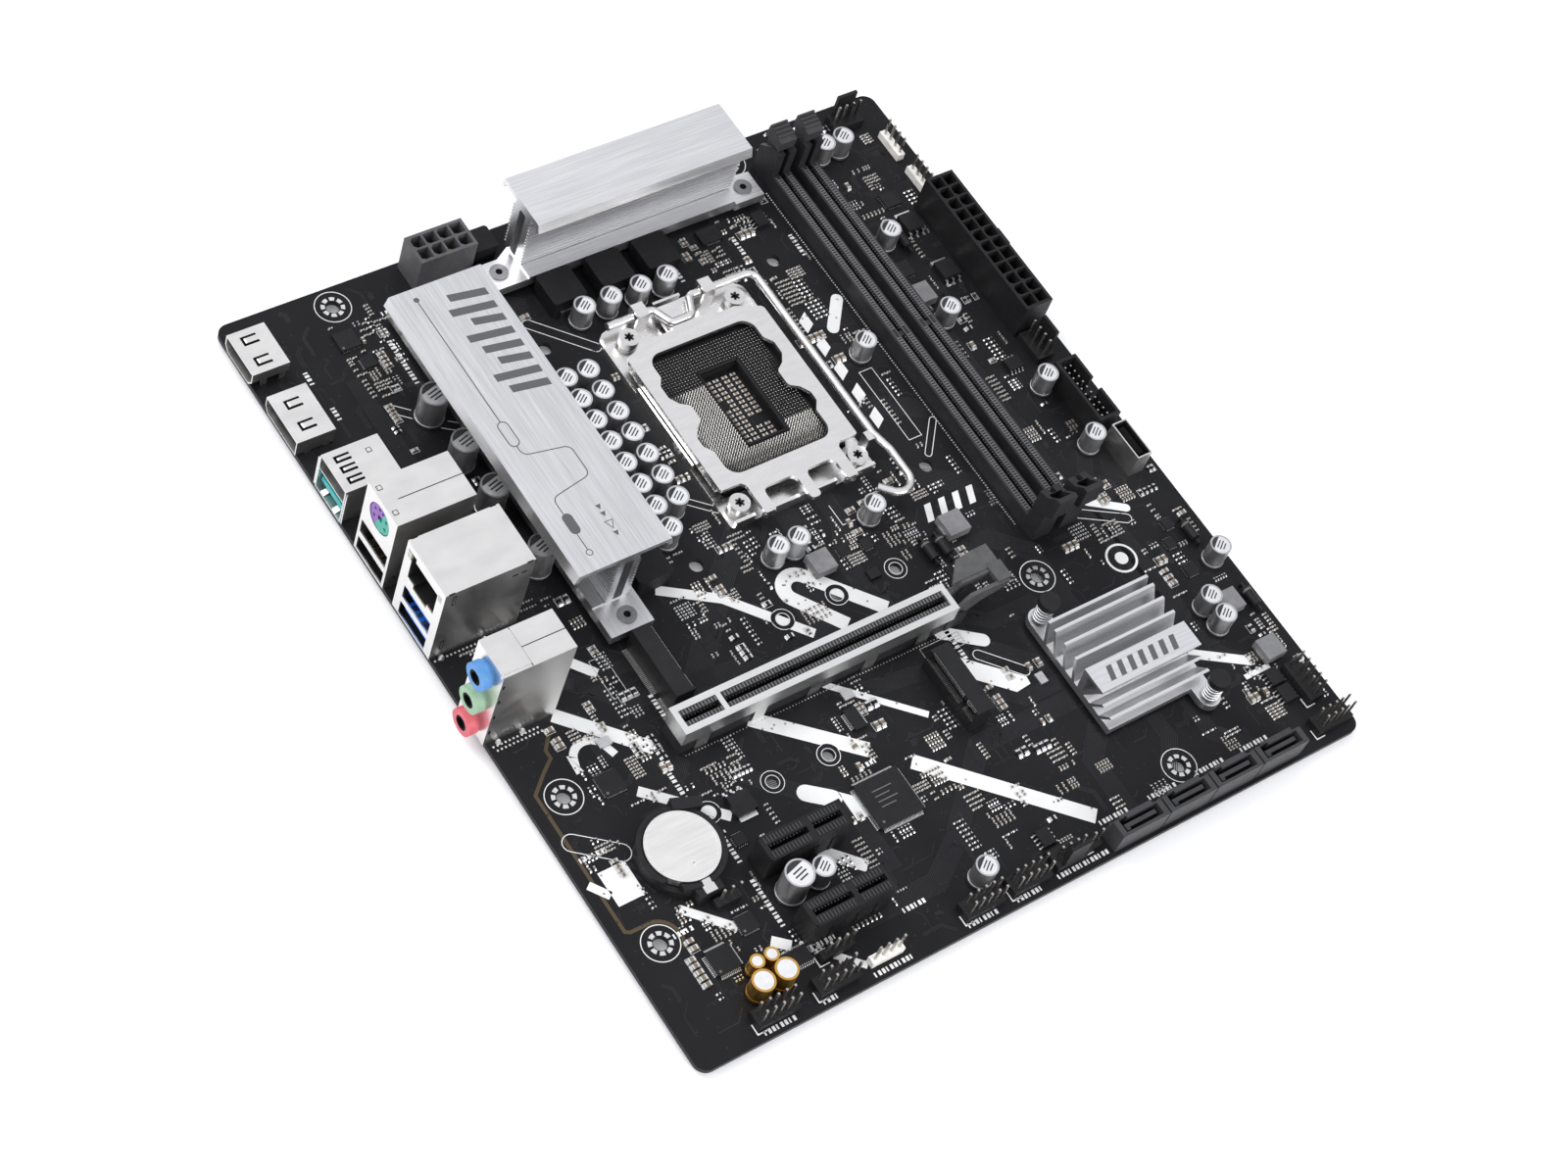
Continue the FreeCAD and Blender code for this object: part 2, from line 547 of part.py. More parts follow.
# ---------------------------------------------------------------- memory slots
DIMM_MIDDLES = {"a": 173.8, "b": 183.4}
LATCH_Y = 230.5
LATCH_Z = 4.0
for name, middle in DIMM_MIDDLES.items():
    left = middle - D["dimm_width"] / 2
    right = middle + D["dimm_width"] / 2
    body = box((left, 90.6, 0), (right, 233.4, 5.8), Height="Dims.dimm_body_height", Length="Dims.dimm_width")
    fixed_end = prism(
        [(90.3, 0), (90.3, 12.6), (87.9, 13.8), (87.9, 21.3), (89.4, 21.3), (92.0, 18.6), (95.4, 17.6), (95.4, 0)],
        left, D["dimm_width"], "x", LengthFwd="Dims.dimm_width",
    )
    latch_end = prism([(224.9, 0), (224.9, 14.7), (228.4, 14.7), (233.4, 10.6), (233.4, 0)],
                      left, D["dimm_width"], "x", LengthFwd="Dims.dimm_width")
    groove = box((middle - 0.85, 93.2, 1.6), (middle + 0.85, 226.8, 30))
    key = box((middle - 0.85, 161.4, 1.6), (middle + 0.85, 163.0, 5.4))
    well = box((middle - 1.7, 226.4, 1.0), (middle + 1.7, 240, 30))
    hollow = box((middle - 2.1, 89.6, 12.0), (middle + 2.1, 93.0, 30))
    node("dimm_slot_" + name, fuse([cut(fuse([body, fixed_end, latch_end]), [groove, well, hollow]), key]))
    leg = prism(
        [(228.7, 4.0), (228.0, 14.8), (226.4, 14.8), (225.9, 18.6), (232.3, 20.2), (232.8, 15.6), (232.3, 4.0)],
        middle - 1.45, 2.9, "x",
    )
    pivot = rod((middle - 1.45, LATCH_Y, LATCH_Z), 1.8, 2.9, "x")
    grip = middle - D["dimm_latch_width"] / 2
    wide = D["dimm_latch_width"]
    head_profile = [(226.2, 15.0), (225.9, 18.6), (232.3, 20.2), (232.8, 15.6)]
    head = prism(head_profile, grip, wide, "x", LengthFwd="Dims.dimm_latch_width")
    ribs = []
    for y in (227.4, 228.7, 230.0, 231.2):
        crest = 19.3 + 0.25 * (y - 226.4)
        rib = [(y, 18.4), (y + 0.3, crest), (y + 0.8, crest + 0.1), (y + 1.0, 18.4)]
        ribs.append(prism(rib, grip, wide, "x", LengthFwd="Dims.dimm_latch_width"))
    node("dimm_latch_" + name, fuse([leg, pivot, head] + ribs))

# ---------------------------------------------------------------- expansion slots
X16_Y = 81.2


def edge_slot(x0, x1, middle, wide, key_x):
    """Card-edge slot with a keyed groove."""
    body = box((x0, middle - wide / 2, 0), (x1, middle + wide / 2, 10.9), Height="Dims.slot_height")
    grooves = [box((x0 + 1.6, middle - 0.9, 3), (key_x, middle + 0.9, 20)),
               box((key_x + 1.5, middle - 0.9, 3), (x1 - 1.6, middle + 0.9, 20))]
    return body, grooves


slot, grooves = edge_slot(43.2, 131.0, X16_Y, 7.7, 56.0)
ears = [box((130.0, y, 0), (136.2, y + 1.1, 5.0)) for y in (77.1, 86.3)]
ears.append(box((130.5, 78.8, 0), (132.6, 87.4, 4.6)))
x16 = fuse([cut(slot, grooves)] + ears)
node("pcie_x16_slot", x16)

outside = box((42.75, X16_Y - 4.3, 5.4), (131.45, X16_Y + 4.3, 11.25))
outside.setExpression("Height", "Dims.shield_height - 5.4")
inside = box((43.2, X16_Y - 3.85, 0), (131.0, X16_Y + 3.85, 10.9))
mouth = [box((44.4, X16_Y - 2.45, 10), (56.0, X16_Y + 2.45, 12)),
         box((57.5, X16_Y - 2.45, 10), (129.8, X16_Y + 2.45, 12))]
legs = []
for x in (48.0, 66.0, 84.0, 102.0, 120.0):
    for y in (X16_Y - 4.3, X16_Y + 3.95):
        legs.append(box((x, y, 0), (x + 4.0, y + 0.35, 5.6)))
node("pcie_x16_shield", fuse([cut(outside, [inside] + mouth)] + legs))

# The latch turns on a rod between the slot's ears and carries a wide pad towards the memory side.
PIVOT_X = 135.0
PIVOT_Z = 3.0
WING_Z = 9.8
wing = prism([(134.4, 84.2), (139.6, 90.1), (145.5, 90.8), (150.6, 90.9), (150.6, 84.2)], WING_Z, 1.0, "z",
             LengthFwd="Dims.graphics_latch_sheet")
near_arm = [(133.9, 1.8), (137.0, 2.4), (142.0, 5.6), (150.5, 7.6), (150.5, WING_Z + 0.6), (137.4, WING_Z + 0.6),
            (133.9, 6.4)]
far_arm = [(133.9, 1.8), (137.0, 2.4), (142.0, 6.4), (147.0, 8.0), (147.0, WING_Z + 0.6), (137.4, WING_Z + 0.6),
           (133.9, 6.4)]
arms = [prism(near_arm, 78.6, 1.1, "y"), prism(far_arm, 83.2, 1.4, "y")]
latch_pad = box((146.6, 79.2, WING_Z - 0.4), (151.2, 85.0, WING_Z + 1.2))
barrel = rod((PIVOT_X, 79.0, PIVOT_Z), 1.5, 6.9, "y")
node("pcie_x16_latch", fuse([wing, latch_pad, barrel] + arms))

x_ones = []
for middle in (40.4, 20.1):
    slot, grooves = edge_slot(42.7, 68.4, middle, 7.2, 56.3)
    x_ones.append(cut(slot, grooves))
node("pcie_x1_slots", group(x_ones))


def key_slot(back, way, middle):
    """Low card-edge socket lying on the board; way is +1 or -1, the side its mouth faces."""
    half = 11.0
    profile = [(back, 0), (back, 8.5), (back + 5.4 * way, 8.5), (back + 5.4 * way, 6.9), (back + 2.2 * way, 6.9),
               (back + 2.2 * way, 4.4), (back + 6.4 * way, 4.4), (back + 6.4 * way, 0)]
    block = prism(profile, middle - half, 22.0, "y")
    low, high = sorted((back, back + 6.0 * way))
    cheeks = [box((low, y, 0), (high, y + 1.0, 8.5), Height="Dims.key_slot_height")
              for y in (middle - half, middle + half - 1.0)]
    low, high = sorted((back, back + 5.2 * way))
    key = box((low, middle - 6.9, 4.2), (high, middle - 5.7, 7.2))
    return fuse([block, key] + cheeks)


node("m2_sockets", group([key_slot(48.1, 1, 99.5), key_slot(124.0, -1, 59.6)]))

# ---------------------------------------------------------------- power and storage connectors
PITCH = D["power_pitch"]


def power_cells(x, y, columns, rows):
    return [(x + (i - (columns - 1) / 2) * PITCH, y + (j - (rows - 1) / 2) * PITCH)
            for i in range(columns) for j in range(rows)]


def power_housing(x, y, columns, rows):
    half_x = (columns * PITCH + 1.2) / 2
    half_y = (rows * PITCH + 1.2) / 2
    body = box((x - half_x, y - half_y, 0), (x + half_x, y + half_y, 13.0), Height="Dims.power_housing_height")
    wells = []
    for index, (cx, cy) in enumerate(power_cells(x, y, columns, rows)):
        if index % 4 in (0, 3):
            wells.append(box((cx - 1.78, cy - 1.78, 2.0), (cx + 1.78, cy + 1.78, 20)))
        else:
            corners = [(-1.78, -0.9), (-0.9, -1.78), (1.78, -1.78), (1.78, 1.78), (-0.9, 1.78), (-1.78, 0.9)]
            wells.append(prism([(cx + a, cy + b) for a, b in corners], 2.0, 18, "z"))
    return cut(body, wells)


lock_a = prism([(217.9, 5.0), (219.6, 10.6), (219.6, 11.4), (217.9, 11.4)], 172.9, 6.0, "y")
node("atx_power_24pin", fuse([power_housing(213.2, 175.9, 2, 12), lock_a]))
lock_b = prism([(242.3, 4.0), (243.6, 9.6), (243.6, 10.6), (242.3, 10.6)], 62.2, 6.0, "x")
node("cpu_power_8pin", fuse([power_housing(65.2, 237.6, 4, 2), lock_b]))
contacts = [box((x - 0.5, y - 0.5, 2.0), (x + 0.5, y + 0.5, 10.0))
            for x, y in power_cells(213.2, 175.9, 2, 12) + power_cells(65.2, 237.6, 4, 2)]
for item in contacts:
    item.setExpression("Height", "Dims.power_pin_length")
node("power_pins", group(contacts))

satas = []
for index in range(4):
    x0 = 132.3 + 16.6 * index
    shell = box((x0, 1.1, 0), (x0 + 16.1, 6.9, 8.4), Height="Dims.sata_height")
    wells = [box((x0 + 1.6, 2.0, 1.4), (x0 + 14.4, 5.4, 20)), box((x0 + 1.6, 5.0, 1.4), (x0 + 4.4, 6.1, 20)),
             box((x0 - 1, 6.2, 6.2), (x0 + 2.4, 8, 20)), box((x0 + 13.4, 5.9, 3.0), (x0 + 18, 8, 20))]
    blade = box((x0 + 2.6, 3.2, 1.0), (x0 + 13.2, 4.4, 7.6))
    hook = box((x0 + 2.6, 2.5, 1.0), (x0 + 3.8, 4.4, 7.6))
    satas.append(fuse([cut(shell, wells), blade, hook]))
node("sata_ports", group(satas))

# ---------------------------------------------------------------- rear ports
WALL = 0.4


def inset(points, amount):
    """Shrinks a convex Y-Z outline towards its middle."""
    cy = sum(p[0] for p in points) / len(points)
    cz = sum(p[1] for p in points) / len(points)
    reach_y = max(abs(p[0] - cy) for p in points)
    reach_z = max(abs(p[1] - cz) for p in points)
    return [(cy + (y - cy) * (1 - amount / reach_y), cz + (z - cz) * (1 - amount / reach_z)) for y, z in points]


HDMI = [(222.4, 5.9), (236.8, 5.9), (236.8, 2.4), (235.2, 0.4), (224.0, 0.4), (222.4, 2.4)]
DISPLAY = [(198.6, 5.9), (214.9, 5.9), (214.9, 2.2), (213.2, 0.4), (198.6, 0.4)]
for label, points, depth in (("hdmi_port", HDMI, "hdmi_depth"), ("displayport", DISPLAY, "displayport_depth")):
    outside = prism(points, -0.5, D[depth], "x", LengthFwd="Dims." + depth)
    inside = prism(inset(points, WALL), -1, D[depth] + 0.1, "x", LengthFwd="Dims.%s + 0.1" % depth)
    skin = cut(outside, [inside])
    y0 = min(p[0] for p in points)
    y1 = max(p[0] for p in points)
    legs = [box((x, y, 0), (x + 1.8, y + WALL, 2.6)) for x in (2.4, 8.0) for y in (y0, y1 - WALL)]
    node(label, fuse([skin] + legs))

usb_outer = box((-0.3, 175.4, 0.2), (16.4, 188.4, 14.0))
usb_outer.setExpression("Height", "Dims.usb_height - 0.2")
usb_inner = box((-1, 175.8, 0.6), (16.0, 188.0, 13.6))
usb_shelf = box((0.2, 175.6, 7.6), (9.0, 188.2, 8.0))
usb_flaps = [prism([(-0.3, y0), (0.7, y1), (0.7, y1 + 0.4), (-0.3, y0 + 0.4)], 0.6, 11.8, "z")
             for y0, y1 in ((174.6, 175.4), (188.8, 188.0))]
node("usb_port_shell", fuse([cut(usb_outer, [usb_inner]), usb_shelf] + usb_flaps))
node("usb_port_tongue", box((0.9, 176.3, 3.0), (9.0, 187.5, 4.9), Height="Dims.usb_tongue_thickness"))


def usb_mouth(y, z):
    return box((-2, y - 6.4, z - 2.6), (3, y + 6.4, z + 2.6))


def usb_blade(y, z, front=1.2):
    return box((front, y - 5.6, z - 0.9), (9.5, y + 5.6, z + 0.9))


PS_Y = 160.55
LAN_Y = 138.85
stack = box((-0.3, 153.2, 0), (23.0, 167.9, 29.1), Height="Dims.stack_height")
stack_core = box((0.1, 153.6, -1), (22.6, 167.5, 28.7))
stack_holes = [usb_mouth(PS_Y, 10.9), usb_mouth(PS_Y, 3.4), rod((-2, PS_Y, 22.3), 4.7, 4, "x")]
node("ps2_usb_shell", cut(stack, [stack_core] + stack_holes))
ps2_face = rod((-0.1, PS_Y, 22.3), 4.5, 8.6, "x")
ps2_holes = [box((-1, PS_Y - 0.9, 21.4), (7, PS_Y + 0.9, 23.2))]
for angle in (30, 75, 105, 150, 210, 330):
    turn = math.radians(angle)
    ps2_holes.append(rod((-1, PS_Y + 3.0 * math.cos(turn), 22.3 + 3.0 * math.sin(turn)), 0.5, 8, "x"))
insert = cut(ps2_face, ps2_holes)
ps2_face.setExpression("Height", "Dims.keyboard_insert_depth")
node("ps2_insert", insert)

lan = box((-0.3, 129.6, 0), (26.2, 148.1, 29.9), Height="Dims.lan_stack_height")
lan_core = box((0.1, 130.0, -1), (25.8, 147.7, 29.5))
jack_mouth = [box((-2, LAN_Y - 6.2, 17.4), (3, LAN_Y + 6.2, 26.2)),
              box((-2, LAN_Y - 3.2, 16), (3, LAN_Y + 3.2, 18)),
              box((-2, LAN_Y + 4.4, 24.6), (3, LAN_Y + 8.2, 27.6))]
lan_holes = [usb_mouth(LAN_Y, 10.6), usb_mouth(LAN_Y, 3.2)] + jack_mouth
node("lan_usb_shell", cut(lan, [lan_core] + lan_holes))
blades = [usb_blade(LAN_Y, 10.2), usb_blade(LAN_Y, 2.8)]
for item in blades:
    item.setExpression("Width", "Dims.tongue_width")
node("usb3_tongues", group(blades))

cores = [box((9.5, 153.8, 0.1), (22.4, 167.3, 28.5)), usb_blade(PS_Y, 11.3), usb_blade(PS_Y, 3.8)]
cores[0].setExpression("Height", "Dims.stack_height - 0.6")
jack_well = [box((-1, LAN_Y - 6.0, 17.6), (14, LAN_Y + 6.0, 26.0)),
             box((-1, LAN_Y - 3.0, 16.2), (14, LAN_Y + 3.0, 18))]
lan_fill = cut(box((0.3, 130.2, 14.4), (25.6, 147.5, 29.3)), jack_well)
cores += [box((9.5, 130.2, 0.1), (25.6, 147.5, 14.4)), lan_fill]
cores += [box((9.0, 176.0, 0.8), (15.8, 187.8, 13.4)), box((2.2, 176.0, 8.2), (9.0, 187.8, 13.4))]
cores += [box((1.0, 224.6, 2.6), (10.2, 234.6, 3.8)), box((6.2, 224.4, 1.2), (10.2, 234.8, 2.6))]
cores += [box((1.0, 200.8, 2.6), (10.6, 212.6, 3.8)), box((6.2, 200.0, 1.2), (10.6, 212.6, 2.6))]
node("port_cores", group(cores))

AUDIO_Y = 107.9
JACK_Z = (4.7, 15.8, 26.9)
audio_outer = box((-0.8, 101.8, 0), (20.6, 114.0, 32.9), Height="Dims.audio_height")
audio_inner = box((-0.3, 102.3, -1), (20.1, 113.5, 32.4))
audio_holes = [rod((-3, AUDIO_Y, z), 3.55, 4, "x") for z in JACK_Z]
audio_clip = box((-1.1, 102.6, 32.9), (7.6, 113.2, 33.3))
audio_lip = box((-1.1, 102.6, 31.4), (-0.8, 113.2, 33.3))
node("audio_jack_housing", fuse([cut(audio_outer, [audio_inner] + audio_holes), audio_clip, audio_lip]))
for label, z in zip(("audio_jack_mic", "audio_jack_out", "audio_jack_in"), JACK_Z):
    ring = rod((-4.4, AUDIO_Y, z), 3.95, 2.7, "x")
    neck = rod((-1.8, AUDIO_Y, z), 3.5, 14.0, "x")
    bore = rod((-5, AUDIO_Y, z), 1.8, 14.0, "x")
    neck.setExpression("Height", "Dims.jack_neck_length")
    node(label, cut(fuse([ring, neck]), [bore]))

# ---------------------------------------------------------------- internal headers
front = box((208.0, 111.0, 0), (215.4, 133.4, 9.0), Height="Dims.front_header_height")
front_wells = [box((208.9, 111.9, 2.0), (214.5, 132.5, 20)), box((214, 120.4, 3.0), (217, 124.4, 20))]
node("usb3_front_header", cut(front, front_wells))
type_outer = box((210.2, 95.8, 0), (215.4, 108.6, 9.0), Height="Dims.front_header_height")
type_core = box((211.9, 97.4, 0), (213.7, 107.0, 8.0))
node("usbc_front_header", fuse([cut(type_outer, [box((210.6, 96.2, 1.0), (215.0, 108.2, 20))]), type_core]))

# Pin headers: (x of the middle, y of the middle, columns along X, rows along Y)
BLACK_HEADERS = [(25.1, 5.4, 5, 2), (43.8, 5.4, 5, 2), (48.6, 12.0, 4, 1), (90.2, 5.3, 5, 2), (105.6, 5.3, 5, 2),
                 (127.3, 5.6, 2, 1), (213.2, 5.8, 5, 2), (213.6, 18.8, 2, 5), (31.2, 36.3, 3, 1)]
WHITE_HEADERS = [(59.3, 5.0, 4, 1), (214.9, 223.4, 1, 4), (214.9, 209.0, 1, 4)]
FAN_HEADERS = [(119.3, 6.3, 4, 1, (0, -1)), (211.6, 144.2, 1, 4, (1, 0)), (206.8, 237.0, 4, 1, (0, 1))]
STEP = D["header_pitch"]


def header_spots(x, y, columns, rows):
    return [(x + (i - (columns - 1) / 2) * STEP, y + (j - (rows - 1) / 2) * STEP)
            for i in range(columns) for j in range(rows)]


def header_block(x, y, columns, rows):
    half_x = columns * STEP / 2 - 0.05
    half_y = rows * STEP / 2 - 0.05
    return box((x - half_x, y - half_y, 0), (x + half_x, y + half_y, 2.5), Height="Dims.header_block_height")


blocks = [header_block(*item) for item in BLACK_HEADERS]
for x, y, columns, rows, way in FAN_HEADERS:
    half_x = 5.08 if columns > 1 else 2.9
    half_y = 5.08 if rows > 1 else 2.9
    base = box((x - half_x, y - half_y, 0), (x + half_x, y + half_y, 2.5), Height="Dims.header_block_height")
    if way[1]:
        edge = y + way[1] * half_y
        wall = box((x - 3.4, min(edge, edge - way[1]), 0), (x + 3.4, max(edge, edge - way[1]), 10.5))
    else:
        edge = x + way[0] * half_x
        wall = box((min(edge, edge - way[0]), y - 3.4, 0), (max(edge, edge - way[0]), y + 3.4, 10.5))
    blocks.append(fuse([base, wall]))
node("pin_header_blocks", group(blocks))
node("rgb_headers", group([header_block(*item) for item in WHITE_HEADERS]))
header_pins = []
for item in BLACK_HEADERS + WHITE_HEADERS + [f[:4] for f in FAN_HEADERS]:
    for x, y in header_spots(*item):
        header_pins.append(box((x - 0.32, y - 0.32, 2.5), (x + 0.32, y + 0.32, 8.7), Height="Dims.header_pin_length"))
for i in range(10):
    for x in (210.7, 212.7):
        header_pins.append(box((x - 0.25, 113.2 + 2 * i - 0.25, 2.0), (x + 0.25, 113.2 + 2 * i + 0.25, 7.4)))
node("header_pins", group(header_pins))

# ---------------------------------------------------------------- coin cell
CELL = (27.4, 52.8)
holder_body = rod((CELL[0], CELL[1], 0), 11.8, 4.6)
holder_clip = box((24.0, 38.6, 0), (31.4, 43.4, 4.2))
holder_stop = prism([(30.6, 62.2), (38.2, 60.0), (39.6, 62.6), (31.6, 65.6)], 0, 5.6, "z")
pocket = rod((CELL[0], CELL[1], 1.7), D["cell_radius"] + 0.3, 9)
holder = cut(fuse([holder_body, holder_clip, holder_stop]), [pocket, box((14, 40.5, 2.4), (21.5, 46.5, 9))])
pocket.setExpression("Radius", "Dims.cell_radius + 0.3")
node("battery_holder", holder)
cell = fuse([rod((CELL[0], CELL[1], 2.4), D["cell_radius"], 2.8, Radius="Dims.cell_radius"),
             rod((CELL[0], CELL[1], 2.0), 8.6, 1.0)])
node("coin_cell", cell)

# ---------------------------------------------------------------- chips and small power parts
# Chips: (x of the middle, y of the middle, size along X, size along Y, height)
CHIPS = [
    (86.0, 41.6, 14.0, 14.0, 1.4), (22.8, 78.0, 6.4, 6.4, 0.9), (21.4, 23.1, 7.0, 7.0, 1.4),
    (30.6, 225.9, 6.2, 6.0, 0.9), (32.4, 217.3, 3.8, 3.8, 0.9), (38.4, 15.0, 7.8, 4.4, 1.2),
    (32.5, 28.9, 5.0, 5.0, 0.9), (49.8, 57.6, 6.4, 6.0, 2.2), (44.0, 49.4, 3.4, 3.4, 0.9),
    (117.4, 13.0, 3.9, 5.0, 1.5), (91.6, 65.3, 3.8, 6.4, 1.1), (207.2, 23.8, 4.2, 5.0, 1.5),
    (207.2, 17.9, 4.2, 5.0, 1.5), (118.9, 110.4, 3.2, 3.2, 0.9), (126.2, 109.4, 3.2, 3.2, 0.9),
    (122.5, 100.6, 3.6, 3.0, 0.9), (144.4, 216.8, 7.0, 5.0, 1.1), (161.6, 215.8, 4.0, 5.0, 1.5),
    (203.2, 196.8, 5.8, 6.0, 2.2), (203.2, 178.0, 5.8, 6.0, 2.2), (202.8, 206.6, 5.2, 4.8, 0.9),
    (191.4, 183.4, 5.4, 5.4, 1.1), (201.8, 142.0, 5.0, 3.9, 1.5), (207.2, 72.2, 3.2, 3.2, 0.9),
    (207.4, 62.6, 4.0, 4.0, 0.9), (210.6, 77.8, 3.4, 3.4, 0.9),
]
chips = [box((x - wide / 2, y - long / 2, 0), (x + wide / 2, y + long / 2, tall))
         for x, y, wide, long, tall in CHIPS]
chips[0].setExpression("Height", "Dims.ic_height")
node("ic_packages", group(chips))

COILS = [(110.3, 109.2, 6.6), (151.9, 103.7, 7.0), (190.3, 173.1, 6.6), (210.2, 48.6, 6.6), (211.4, 31.3, 6.6)]
coils = [box((x - size / 2, y - size / 2, 0), (x + size / 2, y + size / 2, 3.0), Height="Dims.inductor_height")
         for x, y, size in COILS]
node("smd_inductors", group(coils))

DIODES = [(140.7, 99.5), (145.3, 99.2), (214.6, 72.7), (217.4, 47.2), (197.2, 192.4)]
diodes = []
for x, y in DIODES:
    barrel = rod((x, y - 2.9, 1.6), D["diode_radius"], 5.8, "y", Radius="Dims.diode_radius")
    lead = rod((x, y - 4.5, 1.6), 0.4, 9.0, "y")
    legs = [rod((x, y + side, 0), 0.4, 1.6) for side in (-4.5, 4.5)]
    bends = [ball((x, y + side, 1.6), 0.4) for side in (-4.5, 4.5)]
    diodes.append(fuse([barrel, lead] + legs + bends))
node("power_diodes", group(diodes))

CRYSTALS = [(27.5, 88.7, 3.8, 2.6), (94.0, 72.1, 3.4, 2.6), (145.9, 52.9, 2.5, 3.4)]
cans = [box((x - wide / 2, y - long / 2, 0), (x + wide / 2, y + long / 2, 0.9), Height="Dims.crystal_height")
        for x, y, wide, long in CRYSTALS]
node("crystals", group(cans))

# ---------------------------------------------------------------- checks and export
doc.recompute()
faulty = [o.Label for o in doc.Objects if "Invalid" in o.State or "Error" in o.State]
if faulty:
    raise RuntimeError("features failed: %s" % faulty)
for item in NODES:
    shape = item.Shape
    if shape.isNull() or not shape.isValid():
        raise RuntimeError("bad shape: " + item.Label)
    shape.exportStep("parts/%s.step" % item.Label)
    size = shape.BoundBox
    limits = (size.XMin, size.XMax, size.YMin, size.YMax, size.ZMin, size.ZMax)
    print("%-20s volume %9.1f  solids %3d" % (item.Label, shape.Volume, len(shape.Solids)),
          " x %.1f..%.1f  y %.1f..%.1f  z %.1f..%.1f" % limits)
print("parts", len(NODES))
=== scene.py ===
import math
import random

import bpy
from mathutils import Matrix, Vector


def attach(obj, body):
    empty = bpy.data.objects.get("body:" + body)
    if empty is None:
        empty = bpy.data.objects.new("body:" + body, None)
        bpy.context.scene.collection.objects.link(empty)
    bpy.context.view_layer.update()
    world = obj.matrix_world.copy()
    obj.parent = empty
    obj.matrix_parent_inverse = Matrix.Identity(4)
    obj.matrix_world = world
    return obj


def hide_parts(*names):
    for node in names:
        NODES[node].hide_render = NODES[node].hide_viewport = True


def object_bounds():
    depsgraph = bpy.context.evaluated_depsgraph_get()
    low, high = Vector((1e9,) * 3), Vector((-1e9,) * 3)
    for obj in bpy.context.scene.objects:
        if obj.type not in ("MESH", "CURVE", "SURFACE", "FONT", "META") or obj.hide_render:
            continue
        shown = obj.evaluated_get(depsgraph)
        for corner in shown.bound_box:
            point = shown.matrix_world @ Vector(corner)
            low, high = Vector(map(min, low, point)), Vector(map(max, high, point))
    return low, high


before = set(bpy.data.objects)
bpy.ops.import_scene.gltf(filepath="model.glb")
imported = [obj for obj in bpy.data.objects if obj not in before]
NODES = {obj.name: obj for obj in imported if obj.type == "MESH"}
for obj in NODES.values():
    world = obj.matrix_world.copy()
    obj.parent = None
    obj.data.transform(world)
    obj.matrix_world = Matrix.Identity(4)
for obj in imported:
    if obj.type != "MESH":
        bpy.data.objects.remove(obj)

CAD_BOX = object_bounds()
MM = 0.001
ORIGIN = (10.16, 80.01, -1.6)       # the CAD frame's origin on the board grid, in millimetres
BOARD_W = 220.98
BOARD_H = 243.84
BOARD_T = 1.6


def at(x, y, z=0.0):
    """A point of the board grid, in the CAD frame and in metres."""
    return Vector(((x - ORIGIN[0]) * MM, (y - ORIGIN[1]) * MM, (z - ORIGIN[2]) * MM))


# ---- materials
class Graph:
    """A small builder for one node material."""

    def __init__(self, name, **surface):
        self.mat = bpy.data.materials.new(name)
        self.mat.use_nodes = True
        self.tree = self.mat.node_tree
        self.bsdf = self.tree.nodes["Principled BSDF"]
        for socket, value in surface.items():
            self.bsdf.inputs[socket.replace("_", " ")].default_value = value
        self.space = self.node("ShaderNodeTexCoord").outputs["Object"]

    def node(self, kind, **values):
        made = self.tree.nodes.new(kind)
        for key, value in values.items():
            made.inputs[key.replace("_", " ")].default_value = value
        return made

    def link(self, a, b):
        self.tree.links.new(a, b)

    def noise(self, scale, detail, rough=0.55):
        """Noise over the object's millimetres, with one scale or one for each axis."""
        factors = scale if isinstance(scale, tuple) else (scale,) * 3
        mapping = self.node("ShaderNodeMapping", Scale=[f / MM for f in factors])
        self.link(self.space, mapping.inputs["Vector"])
        tex = self.node("ShaderNodeTexNoise", Scale=1.0, Detail=detail, Roughness=rough)
        self.link(mapping.outputs["Vector"], tex.inputs["Vector"])
        return tex.outputs["Fac"]

    def span(self, value, low, high, start=0.3, end=0.7):
        """Maps a noise value onto low..high."""
        span = self.node("ShaderNodeMapRange", From_Min=start, From_Max=end, To_Min=low, To_Max=high)
        self.link(value, span.inputs["Value"])
        return span.outputs["Result"]

    def color(self, value, stops):
        ramp = self.node("ShaderNodeValToRGB")
        for element, (spot, shade) in zip(ramp.color_ramp.elements, stops):
            element.position = spot
            element.color = (*shade, 1.0)
        self.link(value, ramp.inputs["Fac"])
        self.link(ramp.outputs["Color"], self.bsdf.inputs["Base Color"])

    def rough(self, value, low, high):
        self.link(self.span(value, low, high), self.bsdf.inputs["Roughness"])

    def bump(self, height, strength, distance):
        bump = self.node("ShaderNodeBump", Strength=strength, Distance=distance * MM)
        self.link(height, bump.inputs["Height"])
        self.link(bump.outputs["Normal"], self.bsdf.inputs["Normal"])


def tint(color, factor):
    return tuple(min(1.0, c * factor) for c in color)


def plastic(name, color, rough, grain=0.08, specular=0.5, **more):
    """Moulded plastic: faint flow marks in the colour and a fine satin grain."""
    g = Graph(name, Specular_IOR_Level=specular, **more)
    g.color(g.noise(0.35, 3), [(0.3, tint(color, 0.86)), (0.7, tint(color, 1.14))])
    g.rough(g.noise(1.3, 5), rough - 0.07, rough + 0.09)
    g.bump(g.noise(9, 2), grain, 0.05)
    return g.mat


